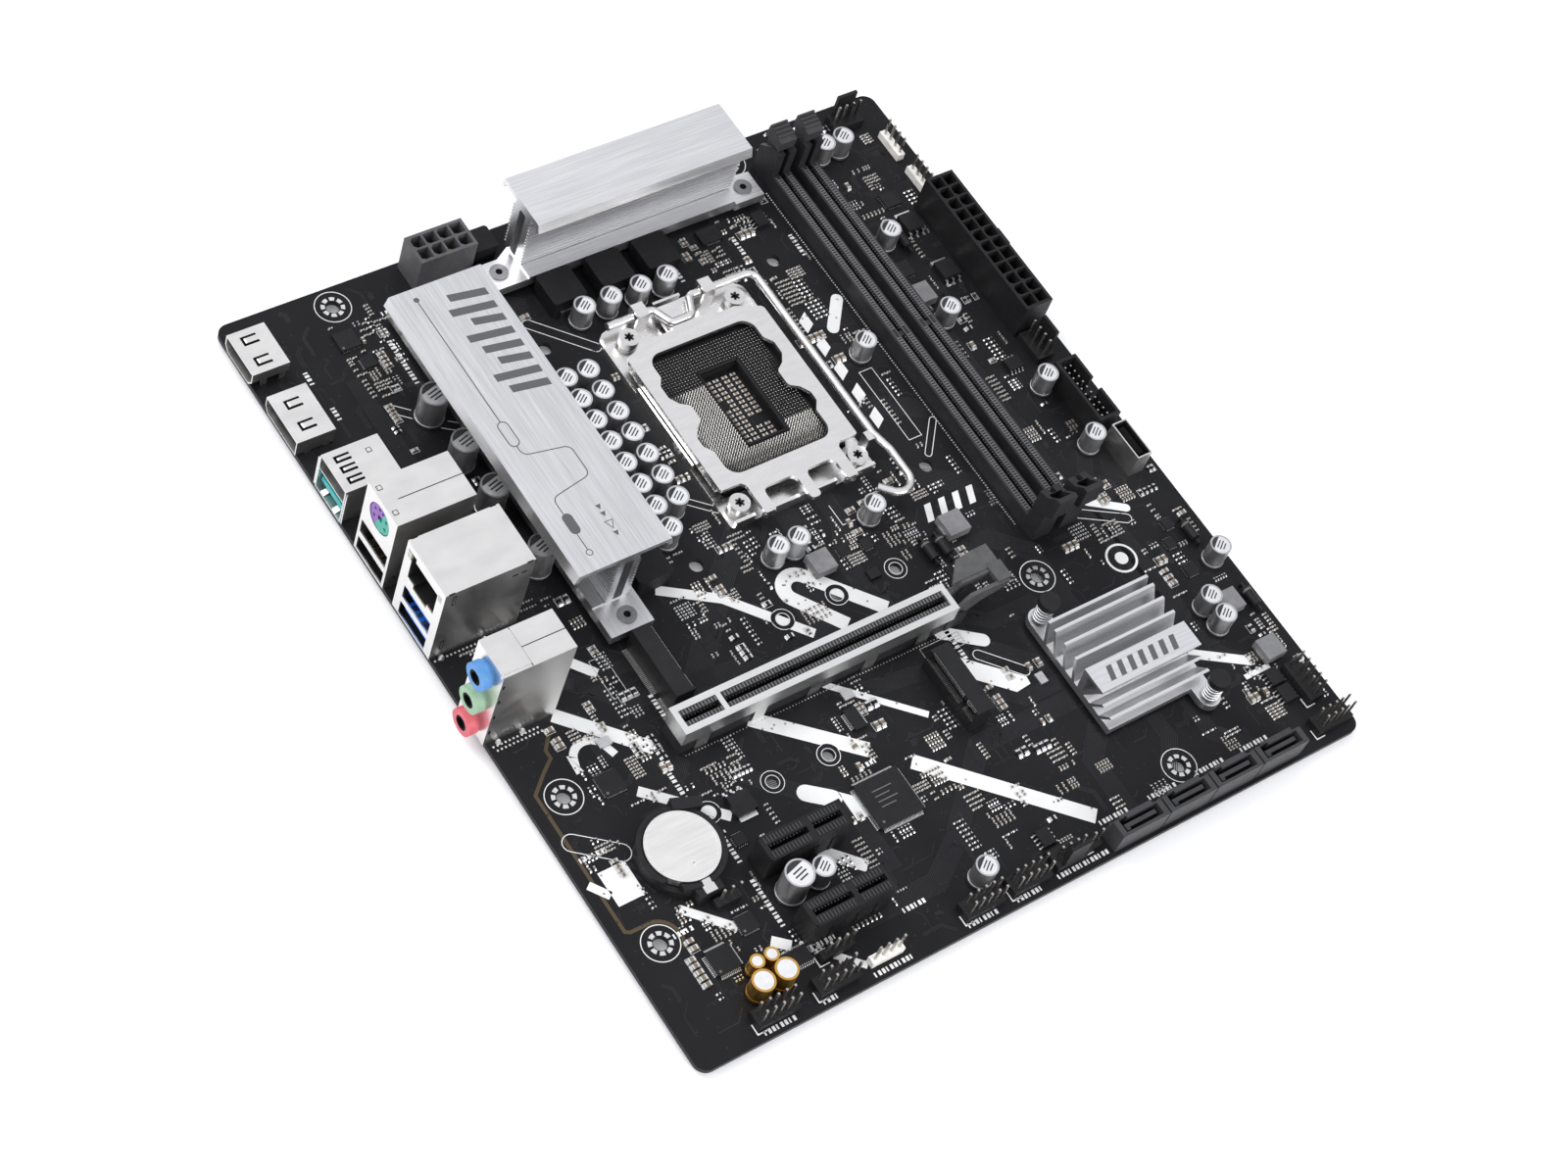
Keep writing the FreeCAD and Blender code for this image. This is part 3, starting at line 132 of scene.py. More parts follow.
def metal(name, color, rough, stretch, wear, grain=0.0):
    """Sheet or cast metal: streaks along its rolling direction over softer stains."""
    g = Graph(name, Metallic=1.0)
    streak = g.noise(stretch, 6, 0.6)
    g.color(streak, [(0.25, tint(color, 1 - wear)), (0.75, tint(color, 1 + wear))])
    g.rough(streak, rough - 0.05, rough + 0.07)
    if grain:
        g.bump(g.noise(stretch, 3), grain, 0.01)
    return g.mat


def ink_coat(name, color):
    """Printed ink: an even coat, a shade thinner in places."""
    g = Graph(name, Specular_IOR_Level=0.2)
    thin = g.noise(0.25, 2)
    g.color(thin, [(0.3, tint(color, 0.95)), (0.7, color)])
    g.rough(thin, 0.5, 0.62)
    return g.mat


METALS = {       # name, colour, roughness, scale of the streaks, how strong they are, grain
    "silver_y": ("brushed_aluminium_y", (0.70, 0.70, 0.71), 0.36, (2.4, 0.05, 2.4), 0.16, 0.2),
    "silver_x": ("brushed_aluminium_x", (0.79, 0.79, 0.80), 0.36, (0.05, 2.4, 2.4), 0.14, 0.2),
    "steel": ("nickel_sheet", (0.77, 0.76, 0.745), 0.32, (0.1, 0.2, 0.2), 0.04),
    "plate": ("stainless_plate", (0.82, 0.81, 0.80), 0.27, (0.12, 0.5, 0.12), 0.05),
    "sleeve": ("slot_sleeve", (0.80, 0.80, 0.79), 0.34, (0.05, 0.2, 0.2), 0.04),
    "wire": ("drawn_wire", (0.80, 0.79, 0.78), 0.27, 0.3, 0.08),
    "screw": ("plated_screw", (0.74, 0.73, 0.72), 0.34, 0.8, 0.1),
    "dark_steel": ("backplate_steel", (0.30, 0.30, 0.31), 0.38, (0.3, 1.6, 0.3), 0.08, 0.2),
    "gold": ("gold_plating", (0.72, 0.52, 0.22), 0.28, 1, 0.08),
    "pin": ("tinned_pin", (0.50, 0.48, 0.45), 0.28, 1, 0.08),
    "spring": ("contact_spring", (0.42, 0.41, 0.39), 0.34, 1, 0.1),
    "can": ("drawn_can", (0.56, 0.56, 0.57), 0.42, (0.5, 0.5, 0.06), 0.1),
    "can_top": ("lacquered_can_top", (0.90, 0.90, 0.91), 0.45, 0.6, 0.04),
    "gold_can": ("gold_sleeve", (0.66, 0.40, 0.10), 0.34, (0.5, 0.5, 0.06), 0.1),
    "solder": ("solder", (0.76, 0.76, 0.75), 0.34, 1.2, 0.1),
    "cell": ("cell_steel", (0.84, 0.83, 0.81), 0.36, (0.1, 1.2, 0.1), 0.06),
}
PLASTICS = {     # name, colour, roughness, grain, specular level
    "black": ("black_plastic", (0.013, 0.013, 0.014), 0.45, 0.08, 0.22),
    "black_matt": ("black_matt_plastic", (0.012, 0.012, 0.013), 0.58, 0.12, 0.2),
    "slot_black": ("slot_plastic", (0.022, 0.022, 0.024), 0.48, 0.08, 0.3),
    "dark_grey": ("dark_grey_plastic", (0.040, 0.040, 0.043), 0.5, 0.1, 0.3),
    "chip": ("chip_epoxy", (0.012, 0.012, 0.013), 0.5, 0.15, 0.22),
    "choke": ("moulded_choke", (0.010, 0.010, 0.011), 0.5, 0.2, 0.2),
    # the rib grey is black slot plastic lightened by a painted highlight
    "rib": ("slot_rib_plastic", (0.13, 0.13, 0.135), 0.5, 0.08, 0.3),
    "grey_plastic": ("grey_plastic", (0.085, 0.085, 0.09), 0.5, 0.08, 0.3),
    "white_plastic": ("white_plastic", (0.82, 0.80, 0.76), 0.45),
    "ferrite": ("grey_ferrite", (0.19, 0.19, 0.195), 0.55, 0.3, 0.3),
    "teal": ("teal_plastic", (0.0, 0.36, 0.36), 0.4),
    "blue": ("blue_plastic", (0.02, 0.22, 0.95), 0.4),
    "pink": ("pink_plastic", (0.62, 0.12, 0.15), 0.5, 0.08, 0.3),
    "green": ("green_plastic", (0.30, 0.45, 0.31), 0.5, 0.08, 0.3),
    "sky": ("sky_plastic", (0.09, 0.26, 0.56), 0.5, 0.08, 0.3),
    "pad": ("thermal_pad", (0.3, 0.33, 0.37), 0.7, 0.3),
    "tan": ("ceramic_tan", (0.17, 0.13, 0.09), 0.5, 0.1),
    "void": ("shadow_gap", (0.005, 0.005, 0.005), 0.7, 0.1, 0.1),
    "lamp": ("lamp_lens", (0.45, 0.47, 0.4), 0.3, 0.05),
    "track": ("masked_copper", (0.021, 0.021, 0.024), 0.4, 0.05, 0.2),
}
INKS = {         # name, colour
    "silk": ("silkscreen_ink", (0.74, 0.74, 0.735)),
    "silk_brown": ("isolation_gap", (0.075, 0.055, 0.032)),
    "engraving": ("laser_engraving", (0.10, 0.10, 0.105)),
    "laser": ("laser_mark", (0.13, 0.13, 0.13)),
    "print_black": ("printed_black", (0.035, 0.035, 0.037)),
}
MAT = {key: metal(*row) for key, row in METALS.items()}
MAT.update((key, plastic(*row)) for key, row in PLASTICS.items())
MAT.update((key, ink_coat(*row)) for key, row in INKS.items())
MAT["smoke"] = plastic("smoky_plastic", (0.15, 0.15, 0.155), 0.24, 0.02, Transmission_Weight=0.45, IOR=1.3)


def solder_mask():
    """Black solder mask, with slightly lighter fields."""
    g = Graph("solder_mask", Specular_IOR_Level=0.14)
    g.color(g.noise(0.06, 3), [(0.3, (0.009, 0.009, 0.010)), (0.7, (0.0125, 0.0125, 0.014))])
    g.rough(g.noise(0.9, 5), 0.36, 0.46)
    g.bump(g.noise(3.5, 3), 0.1, 0.02)
    return g.mat


MAT["mask"] = solder_mask()


def halves(name, first, second, centre, angle):
    """Two colours that meet on a line through a point, in the Y-Z plane."""
    g = Graph(name, Roughness=0.35)
    mapping = g.node("ShaderNodeMapping", Location=centre, Rotation=(angle, 0, 0))
    mapping.vector_type = "TEXTURE"
    g.link(g.space, mapping.inputs["Vector"])
    split = g.node("ShaderNodeSeparateXYZ")
    g.link(mapping.outputs["Vector"], split.inputs[0])
    g.color(g.span(split.outputs["Y"], 0, 1, -1e-4, 1e-4), [(0.45, first), (0.55, second)])
    g.rough(g.noise(1.3, 5), 0.3, 0.42)
    g.bump(g.noise(9, 2), 0.08, 0.05)
    return g.mat


MAT["mouse_keyboard"] = halves("two_tone_insert", (0.02, 0.33, 0.25), (0.2, 0.07, 0.36),
                               tuple(at(0, 160.55, 22.3)), math.radians(25))

LOOK = {         # look: the nodes that have it
    "mask": "pcb", "black_matt": "socket_body socket_contacts port_cores",
    "plate": "socket_frame socket_load_plate", "wire": "socket_load_lever",
    "screw": "socket_screws heatsink_screws push_pin_springs",
    "dark_steel": "socket_backplate heatsink_inserts", "silver_y": "vrm_heatsink_rear",
    "silver_x": "vrm_heatsink_top chipset_heatsink", "chip": "vrm_mosfets chipset_package ic_packages",
    "pad": "thermal_pads", "choke": "vrm_chokes", "can": "capacitors_small capacitors_large crystals",
    "black": "capacitor_seals push_pins pcie_x1_slots m2_sockets atx_power_24pin usb3_front_header "
        "pin_header_blocks battery_holder power_diodes",
    "gold_can": "capacitors_audio", "slot_black": "dimm_slot_a dimm_slot_b pcie_x16_slot",
    "dark_grey": "dimm_latch_a dimm_latch_b sata_ports", "sleeve": "pcie_x16_shield",
    "smoke": "pcie_x16_latch", "grey_plastic": "cpu_power_8pin", "gold": "power_pins",
    "steel": "hdmi_port displayport usb_port_shell ps2_usb_shell lan_usb_shell audio_jack_housing "
        "usbc_front_header",
    "teal": "usb_port_tongue", "mouse_keyboard": "ps2_insert", "blue": "usb3_tongues",
    "pink": "audio_jack_mic", "green": "audio_jack_out", "sky": "audio_jack_in",
    "white_plastic": "rgb_headers", "pin": "header_pins", "cell": "coin_cell", "ferrite": "smd_inductors",
}
for look, labels in LOOK.items():
    for label in labels.split():
        shape = NODES[label].data
        shape.materials.clear()
        shape.materials.append(MAT[look])

# ---- mesh helpers
def polar(x, y, radius, turn):
    return x + radius * math.cos(turn), y + radius * math.sin(turn)


def circle(x, y, radius, sides, first=0.5):
    """Corners of a regular polygon; first is where it starts, counted in sides."""
    return [polar(x, y, radius, 2 * math.pi * (i + first) / sides) for i in range(sides)]


def arc(x, y, radius, start, end, steps=10):
    return [polar(x, y, radius, math.radians(start + (end - start) * i / steps)) for i in range(steps + 1)]


def spread(count, pitch):
    """Places in a row that is centred on zero."""
    return [(k - (count - 1) / 2) * pitch for k in range(count)]


def twice_area(outline):
    """Positive where the outline runs anticlockwise."""
    return sum(a[0] * b[1] - b[0] * a[1] for a, b in zip([outline[-1]] + outline, outline))


def mitres(points, closed=False):
    """Each point of a path, with the sideways step that keeps its width round the corners."""
    spots = [Vector(p) for p in points]
    steps = []
    for i, spot in enumerate(spots):
        ways = []
        if closed or i:
            ways.append((spot - spots[i - 1]).normalized())
        if closed or i < len(spots) - 1:
            ways.append((spots[(i + 1) % len(spots)] - spot).normalized())
        way = (ways[0] + ways[-1]).normalized()
        side = Vector((-way.y, way.x))
        steps.append((spot, side / max(0.5, side.dot(Vector((-ways[0].y, ways[0].x))))))
    return steps


def add_object(name, data):
    made = bpy.data.objects.new(name, data)
    bpy.context.collection.objects.link(made)
    return made


class Shapes:
    """Collects many small closed shapes, given on the board grid in millimetres, into one piece."""

    def __init__(self):
        self.verts = []
        self.faces = []

    def skin(self, points):
        """Closes two rows of points, one after the other, into a solid."""
        n = len(points) // 2
        k = len(self.verts)
        self.verts += points
        self.faces += [tuple(range(k + n - 1, k - 1, -1)), tuple(range(k + n, k + 2 * n))]
        self.faces += [(k + i, k + (i + 1) % n, k + n + (i + 1) % n, k + n + i) for i in range(n)]

    def slab(self, outline, low, high):
        """A closed prism over an X-Y outline, between two heights."""
        if twice_area(outline) < 0:
            outline = outline[::-1]
        self.skin([at(x, y, z) for z in (low, high) for x, y in outline])

    def block(self, x0, y0, z0, x1, y1, z1):
        self.slab([(x0, y0), (x1, y0), (x1, y1), (x0, y1)], z0, z1)

    def box(self, x, y, half_x, half_y, low, high):
        """A block given by its middle."""
        self.block(x - half_x, y - half_y, low, x + half_x, y + half_y, high)

    def disc(self, x, y, low, high, radius, sides=12, top=None):
        """A round post; top is the radius at its upper end."""
        rows = ((radius, low), (radius if top is None else top, high))
        self.skin([at(*spot, z) for reach, z in rows for spot in circle(x, y, reach, sides)])

    def ring(self, x, y, low, high, inner, outer, start=0.0, end=360.0, sides=32):
        """A flat ring, or a part of one."""
        whole = end - start >= 360
        count = max(3, int(sides * (end - start) / 360))
        rows = [arc(x, y, reach, start, end, count)[:count if whole else None] for reach in (inner, outer)]
        self.ribbon(*rows, low, high, whole)

    def ribbon(self, left, right, low, high, closed=False):
        """A closed strip between two rows of points."""
        n = len(left)
        k = len(self.verts)
        for row, level in ((left, low), (right, low), (right, high), (left, high)):
            self.verts += [at(p[0], p[1], level) for p in row]
        for i in range(n if closed else n - 1):
            j = (i + 1) % n
            for a in range(4):
                b = (a + 1) % 4
                self.faces.append((k + a * n + i, k + b * n + i, k + b * n + j, k + a * n + j))
        if not closed:
            self.faces.append((k, k + 3 * n, k + 2 * n, k + n))
            self.faces.append((k + n - 1, k + 2 * n - 1, k + 3 * n - 1, k + 4 * n - 1))

    def line(self, points, width, low, high, closed=False):
        """A line of constant width with mitred corners."""
        steps = mitres(points, closed)
        half = width / 2
        self.ribbon([p + s * half for p, s in steps], [p - s * half for p, s in steps], low, high, closed)

    def sweep(self, profile, start, way, width):
        """Extrude a (distance, height) profile: distance runs along way, width across it."""
        if twice_area(profile) > 0:
            profile = profile[::-1]
        x, y, z = start
        self.skin([at(x + way[0] * along - way[1] * half, y + way[1] * along + way[0] * half, z + up)
                   for half in (-width / 2, width / 2) for along, up in profile])

    def make(self, name, look, body="board", slot=None):
        mesh = bpy.data.meshes.new(name)
        mesh.from_pydata(self.verts, [], self.faces)
        mesh.materials.append(MAT[look])
        piece = add_object(name, mesh)
        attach(piece, body)


def capsule(a, b, width, steps=8):
    """Outline of a bar with round ends."""
    way = math.degrees(math.atan2(b[1] - a[1], b[0] - a[0]))
    return arc(*b, width / 2, way - 90, way + 90, steps) + arc(*a, width / 2, way + 90, way + 270, steps)


def bar(a, b, width):
    """Outline of a square-ended bar."""
    way = (Vector(b) - Vector(a)).normalized() * width / 2
    side = Vector((-way.y, way.x))
    return [tuple(Vector(p) + s) for p, s in ((a, -side), (b, -side), (b, side), (a, side))]


# ---- what already stands on the board
CELL = 0.5
COLUMNS = int(BOARD_W / CELL) + 1
ROWS = int(BOARD_H / CELL) + 1
taken = bytearray(COLUMNS * ROWS)


def squares(x0, y0, x1, y1):
    for column in range(max(0, int(x0 / CELL)), min(COLUMNS - 1, int(x1 / CELL)) + 1):
        for row in range(max(0, int(y0 / CELL)), min(ROWS - 1, int(y1 / CELL)) + 1):
            yield column * ROWS + row


def mark(*area):
    for square in squares(*area):
        taken[square] = 1


def is_free(x0, y0, x1, y1):
    on_board = x0 >= 1 and y0 >= 1 and x1 <= BOARD_W - 1 and y1 <= BOARD_H - 1
    return on_board and not any(taken[square] for square in squares(x0, y0, x1, y1))


LOW_ENOUGH = BOARD_T + 4.0          # a face that starts higher leaves room for small parts below it
MARGIN = 0.2
for label, item in NODES.items():
    if label == "pcb":
        continue
    spots = [v.co for v in item.data.vertices]
    for face in item.data.polygons:
        corners = [spots[i] for i in face.vertices]
        if BOARD_T * MM - 1e-5 <= min(c.z for c in corners) < LOW_ENOUGH * MM:
            xs = [c.x / MM + ORIGIN[0] for c in corners]
            ys = [c.y / MM + ORIGIN[1] for c in corners]
            mark(min(xs) - MARGIN, min(ys) - MARGIN, max(xs) + MARGIN, max(ys) + MARGIN)

MOUNT_HOLES = [(10.16, 34.29), (10.16, 80.01), (33.02, 237.49)]
MOUNT_HOLES += [(165.10, y) for y in (13.97, 80.01, 237.49)]
COOLER_HOLES = [(118.5 + i * 39, 162.9 + j * 39) for i in (-1, 1) for j in (-1, 1)]
CARD_HOLES = [(91.5, 99.5), (109.5, 99.5), (129.5, 99.5), (79.3, 59.6), (61.3, 59.6), (41.3, 59.6)]
for holes, reach in ((MOUNT_HOLES, 5.0), (COOLER_HOLES, 4.2), (CARD_HOLES, 3.4)):
    for x, y in holes:
        mark(x - reach, y - reach, x + reach, y + reach)
mark(146, 107, 167, 114)            # plain printed bars, and a printed ring
mark(186, 69, 196.5, 79.5)

# ---- printed ink
INK = 0.03                          # thickness of printed ink over the mask
ink = Shapes()
STRIPES = [
    ((28, 73), (46, 56), 3), ((66, 78), (90, 56), 4.5), ((98.5, 48), (134.5, 12), 4.5),
    ((90, 78), (111, 57.6), 2), ((20, 101.5), (38.5, 82), 4), ((31.9, 113.6), (37.2, 107), 3),
    ((19.5, 40), (30, 29), 2.5), ((35.5, 22), (39.5, 18.5), 3), ((41.5, 18), (54, 5), 2),
    ((61, 37.5), (70, 28), 3.5), ((2.4, 56), (6, 51), 2.4), ((189.5, 41), (205, 31), 3),
    ((200, 27.5), (209, 27.5), 1.6),
]
for start, end, width in STRIPES:
    ink.slab(bar(start, end, width), 0, INK)
ROUND_STRIPES = [
    ((129, 77), (138.5, 70), 4), ((67.4, 52.9), (73, 48.4), 5), ((160, 174.6), (167, 182.8), 3.6),
    ((193.5, 94), (203, 87.5), 2.6),
]
for start, end, width in ROUND_STRIPES:
    ink.slab(capsule(start, end, width), 0, INK)
ink.line([(17.6, 84.0), (17.6, 87.6)] + arc(22.8, 86.4, 5.0, 170, 20, 10) + [(28.6, 84.6)], 2.2, 0, INK)
ink.slab([(129.3, 68.3), (142.8, 55.3), (142.5, 53), (137.5, 52.5), (129.3, 60.6)], 0, INK)
ink.slab([(75.2, 40), (78.8, 40), (78.8, 46.2), (75.2, 49.5)], 0, INK)
ink.line([(65, 122), (80, 112), (97, 92)], 3, 0, INK)
ink.line([(120, 90)] + arc(101.0, 106.0, 4.2, 38, 218, 14) + [(107, 90.4)], 4.4, 0, INK)
OUTLINED = [
    ((134.5, 66.8), (143.5, 57), 3), ((5, 68), (15, 60), 5), ((87.5, 143), (94.5, 136.5), 2),
    ((160.5, 127), (168.5, 136), 2), ((31, 201), (36.5, 196), 2.6), ((40, 192), (47, 187), 2.6),
    ((79.5, 211), (93, 196.5), 3), ((188.5, 92), (201, 84.5), 3),
]
for start, end, width in OUTLINED:
    ink.line(capsule(start, end, width), 0.22, 0, INK, closed=True)


def frame_line(sheet, x0, y0, x1, y1, width=0.2):
    sheet.line([(x0, y0), (x1, y0), (x1, y1), (x0, y1)], width, 0, INK, closed=True)


frame_line(ink, 158, 133.1, 162.4, 158.4)
for i in range(5):
    frame_line(ink, 37 + 0.9 * i, 98.5, 37.9 + 0.9 * i, 111, 0.12)
for i in range(4):
    frame_line(ink, 120.5, 71.3 + i, 133.5, 72.3 + i, 0.12)
ink.make("printed_marks", "silk")

gap = Shapes()
ISOLATION = [(16.5, 97.5), (13, 93.5), (13, 91), (9, 88), (3.8, 83.5), (3.8, 41), (5, 40.3), (10, 40.2)]
ISOLATION += arc(10.16, 34.29, 6.0, 85, -32, 10) + [(16.1, 29.2)]
gap.line(ISOLATION, 1.0, 0, 0.025)
gap.make("isolation_gap", "silk_brown")

# ---- copper under the mask
rng = random.Random(41)


def clear_of_holes(points, reach):
    for x, y in points:
        for holes, radius in ((MOUNT_HOLES, 5.2), (COOLER_HOLES, 4.2), (CARD_HOLES, 3.4)):
            for hx, hy in holes:
                if (x - hx) ** 2 + (y - hy) ** 2 < (radius + reach) ** 2:
                    return False
    return True


def bundle(sheet, points, count, pitch, width, low, high):
    """A bundle of parallel tracks along a path."""
    for shift in spread(count, pitch):
        sheet.line([tuple(p + s * shift) for p, s in mitres(points)], width, low, high)


def somewhere(low, high):
    return rng.uniform(low, BOARD_W - high), rng.uniform(low, BOARD_H - high)


def bent_path(x, y, run):
    """A track that leaves along one axis and then turns aside."""
    slope = rng.choice((-1, 1))
    if rng.random() < 0.5:
        return [(x, y), (x + run, y), (x + run * 1.5, y + slope * run * 0.5)]
    return [(x, y), (x, y + run), (x + slope * run * 0.5, y + run * 1.5)]


def fits(path):
    return all(2 < x < BOARD_W - 2 and 2 < y < BOARD_H - 2 for x, y in path) and clear_of_holes(path, 1.0)


TRACK = 0.018
tracks = Shapes()
# Long buses: from the socket to memory, slots, chipset and ports
BUSES = [
    ([(142, 186), (156, 180), (168, 176)], 16, 0.42), ([(142, 168), (156, 166), (169, 160)], 20, 0.42),
    ([(142, 150), (158, 146), (169, 140)], 16, 0.42), ([(139, 133), (152, 122), (169, 112)], 16, 0.42),
    ([(112, 128), (112, 112), (100, 100), (100, 88)], 18, 0.45),
    ([(124, 128), (124, 118), (118, 108), (118, 87)], 14, 0.45),
    ([(98, 130), (84, 118), (70, 104), (62, 96), (62, 86)], 16, 0.45),
    ([(150, 50), (138, 50), (128, 60), (126, 64)], 10, 0.45),
    ([(150, 44), (118, 44), (96, 24), (84, 16), (60, 16)], 12, 0.5),
    ([(168, 30), (168, 22), (160, 12)], 10, 0.5), ([(152, 34), (144, 26), (144, 8)], 12, 0.5),
    ([(180, 30), (180, 18), (190, 8)], 10, 0.5), ([(187, 44), (196, 52), (196, 90), (204, 98)], 12, 0.5),
    ([(187, 50), (192, 58), (192, 92), (206, 112)], 10, 0.5),
    ([(150, 56), (140, 66), (96, 72), (76, 92), (40, 96), (28, 110)], 10, 0.5),
    ([(44, 76), (34, 66), (34, 46), (28, 38), (28, 28)], 8, 0.5),
    ([(56, 72), (56, 64), (76, 44), (76, 24)], 10, 0.5),
    ([(26, 84), (26, 96), (18, 104), (18, 124)], 8, 0.55),
    ([(30, 112), (30, 150), (26, 156), (26, 214)], 8, 0.6),
    ([(60, 118), (48, 106), (30, 106), (24, 112), (24, 126)], 8, 0.5),
    ([(190, 100), (190, 160), (197, 168), (197, 176)], 10, 0.55),
    ([(82, 216), (70, 224), (60, 230)], 8, 0.8), ([(206, 30), (198, 38), (198, 46), (188, 56)], 8, 0.5),
    ([(146, 96), (160, 96), (168, 88), (168, 66), (164, 62)], 12, 0.5),
    ([(132, 84), (144, 74), (158, 74), (164, 64)], 10, 0.5),
]
for path, count, pitch in BUSES:
    bundle(tracks, path, count, pitch, pitch * 0.42, 0, TRACK)
# Short tracks between parts
for _ in range(900):
    x, y = somewhere(4, 6)
    path = bent_path(x, y, rng.choice((1.5, 2.5, 4.0, 6.0)))
    if fits(path):
        bundle(tracks, path, rng.choice((1, 1, 2, 3)), 0.5, rng.choice((0.16, 0.2, 0.3)), 0, TRACK)
tracks.make("copper_tracks", "track")

vias = Shapes()
for _ in range(1700):
    x, y = somewhere(3, 3)
    if is_free(x - 0.4, y - 0.4, x + 0.4, y + 0.4):
        vias.ring(x, y, 0, TRACK + 0.012, 0.12, 0.3, sides=8)
vias.make("vias", "track")

# ---- rings around the holes
pads = Shapes()
hole_ink = Shapes()
for x, y in MOUNT_HOLES:
    hole_ink.ring(x, y, 0, INK, 4.95, 5.2, sides=40)
    for k in range(8):
        pads.ring(x, y, 0, 0.04, 2.2, 3.35, 45 * k + 8, 45 * k + 37)
bare = Shapes()
for x, y in CARD_HOLES:
    hole_ink.ring(x, y, 0, INK, 3.1, 3.3, sides=32)
    bare.ring(x, y, 0, INK + 0.01, 2.05, 3.1)
    pads.ring(x, y, 0, 0.04, 1.8, 2.05)
pads.make("hole_pads", "solder")
bare.make("card_hole_rims", "mask")
hole_ink.make("hole_rings", "silk")

# ---- small chip parts
SIZES = {"tiny": (1.0, 0.5, 0.45), "small": (1.6, 0.8, 0.7), "wide": (2.0, 1.25, 1.0)}
chip_looks = {"tan": Shapes(), "chip": Shapes()}
ends = Shapes()
part_ink = Shapes()


def chip_part(x, y, size, look, along_x, outlined=False):
    """A two-ended surface-mount part, if its place is free."""
    long, wide, tall = SIZES[size]
    half_x, half_y = (long / 2, wide / 2) if along_x else (wide / 2, long / 2)
    if not is_free(x - half_x - 0.15, y - half_y - 0.15, x + half_x + 0.15, y + half_y + 0.15):
        return False
    mark(x - half_x, y - half_y, x + half_x, y + half_y)
    cap = long * 0.24
    body = chip_looks[look]
    if look == "chip":
        tall = tall * 0.7
    way_x, way_y = (1, 0) if along_x else (0, 1)
    in_x, in_y = (cap, 0.02) if along_x else (0.02, cap)
    body.box(x, y, half_x - in_x, half_y - in_y, 0.04, tall - 0.02)
    reach = (long - cap) / 2
    for side in (-1, 1):
        ends.box(x + side * way_x * reach, y + side * way_y * reach, cap / 2 if along_x else half_x,
                 half_y if along_x else cap / 2, 0.02, tall)
        foot = (x + side * way_x * half_x, y + side * way_y * half_y, 0)
        ends.sweep([(0, 0), (0.25 * long, 0), (0, tall * 0.6)], foot, (side * way_x, side * way_y), wide)
    if outlined:
        frame_line(part_ink, x - half_x - 0.35, y - half_y - 0.35, x + half_x + 0.35, y + half_y + 0.35, 0.11)
    return True


# Areas of small parts: left, bottom, right, top, number of short rows, and the usual size if not tiny
AREAS = [
    (12, 14, 42, 44, 34), (14, 66, 40, 100, 26), (40, 44, 58, 74, 18), (74, 30, 100, 56, 26),
    (84, 58, 100, 76, 12), (40, 12, 76, 30, 16), (98, 10, 146, 30, 22), (104, 30, 150, 60, 22),
    (132, 84, 150, 128, 26), (92, 104, 134, 122, 36), (136, 100, 168, 126, 22), (145, 128, 168, 190, 20),
    (66, 92, 100, 134, 44), (28, 86, 46, 132, 18), (27, 205, 43, 236, 26), (28, 136, 44, 200, 10, "small"),
    (60, 213, 84, 226, 12, "small"), (134, 205, 168, 222, 30), (140, 186, 168, 206, 10),
    (188, 56, 218, 96, 30), (188, 96, 208, 170, 26), (188, 170, 210, 240, 34), (196, 12, 219, 58, 34),
    (152, 8, 192, 24, 10), (146, 62, 190, 90, 16), (86, 136, 96, 196, 10, "small"), (4, 40, 20, 76, 8),
    (100, 186, 146, 208, 14, "small"), (56, 236, 96, 243, 4, "small"), (170, 236, 200, 243, 6, "small"),
    (1, 123, 26, 127, 10),
]
for left, bottom, right, top, rows, *usual in AREAS:
    for _ in range(rows):
        x = rng.uniform(left, right)
        y = rng.uniform(bottom, top)
        along_x = rng.random() < 0.5
        size = (usual or ["tiny"])[0] if rng.random() < 0.8 else rng.choice(("small", "wide"))
        look = rng.choice(("tan", "tan", "tan", "chip", "chip"))
        pitch = SIZES[size][1] + rng.choice((0.45, 0.6, 0.9))
        lanes = rng.choice((1, 1, 2, 2, 3)) if size == "tiny" else 1
        for step in range(rng.choice((1, 2, 3, 4, 5, 7))):
            for lane in range(lanes):
                along, aside = lane * 1.75, step * pitch
                spot = (x + along, y + aside) if along_x else (x + aside, y + along)
                chip_part(*spot, size, look, along_x, size != "tiny" and rng.random() < 0.5)
for y in range(7):                                  # large ceramic blocks beside the rear chokes
    chip_part(72.3, 128.0 + 12.4 * y, "wide", "tan", False)
for x in (90, 95.5, 106.5, 117.0, 128.4, 133.0):
    chip_part(x, 222.6, "wide", "tan", True)
for look, sheet in chip_looks.items():
    sheet.make("small_parts_" + look, look)
ends.make("small_part_ends", "solder")
part_ink.make("small_part_frames", "silk")

# ---- processor socket
contacts = Shapes()
PITCH = 0.95
LEAF = [(-0.34, 0), (-0.2, 0), (0.36, 0.62), (0.3, 0.7)]
for column in range(37):
    for row in range(44):
        x = 101.3 + PITCH * column
        y = 142.3 + PITCH * row
        if 112.0 < x < 126.7 and 148.7 < y < 176.0:
            continue
        lean = -1 if y > 171.5 or (x > 125.6 and y > 152.0) else 1
        contacts.sweep(LEAF, (x, y, 2.9), (lean * 0.5, lean * 0.866), 0.3)
contacts.make("socket_springs", "spring")
walls = Shapes()
for x in (112.7, 125.7):
    walls.box(x, 162.35, 0.25, 12.95, 2.9, 3.3)
for y in (149.4, 175.3):
    walls.box(119.25, y, 6.75, 0.25, 2.9, 3.3)
for x in (100.7, 136.3):
    walls.box(x, 162.9, 0.2, 21.4, 2.9, 3.1)
walls.make("socket_field_walls", "black_matt", slot="socket_plastic")
inner_caps = Shapes()
inner_ends = Shapes()
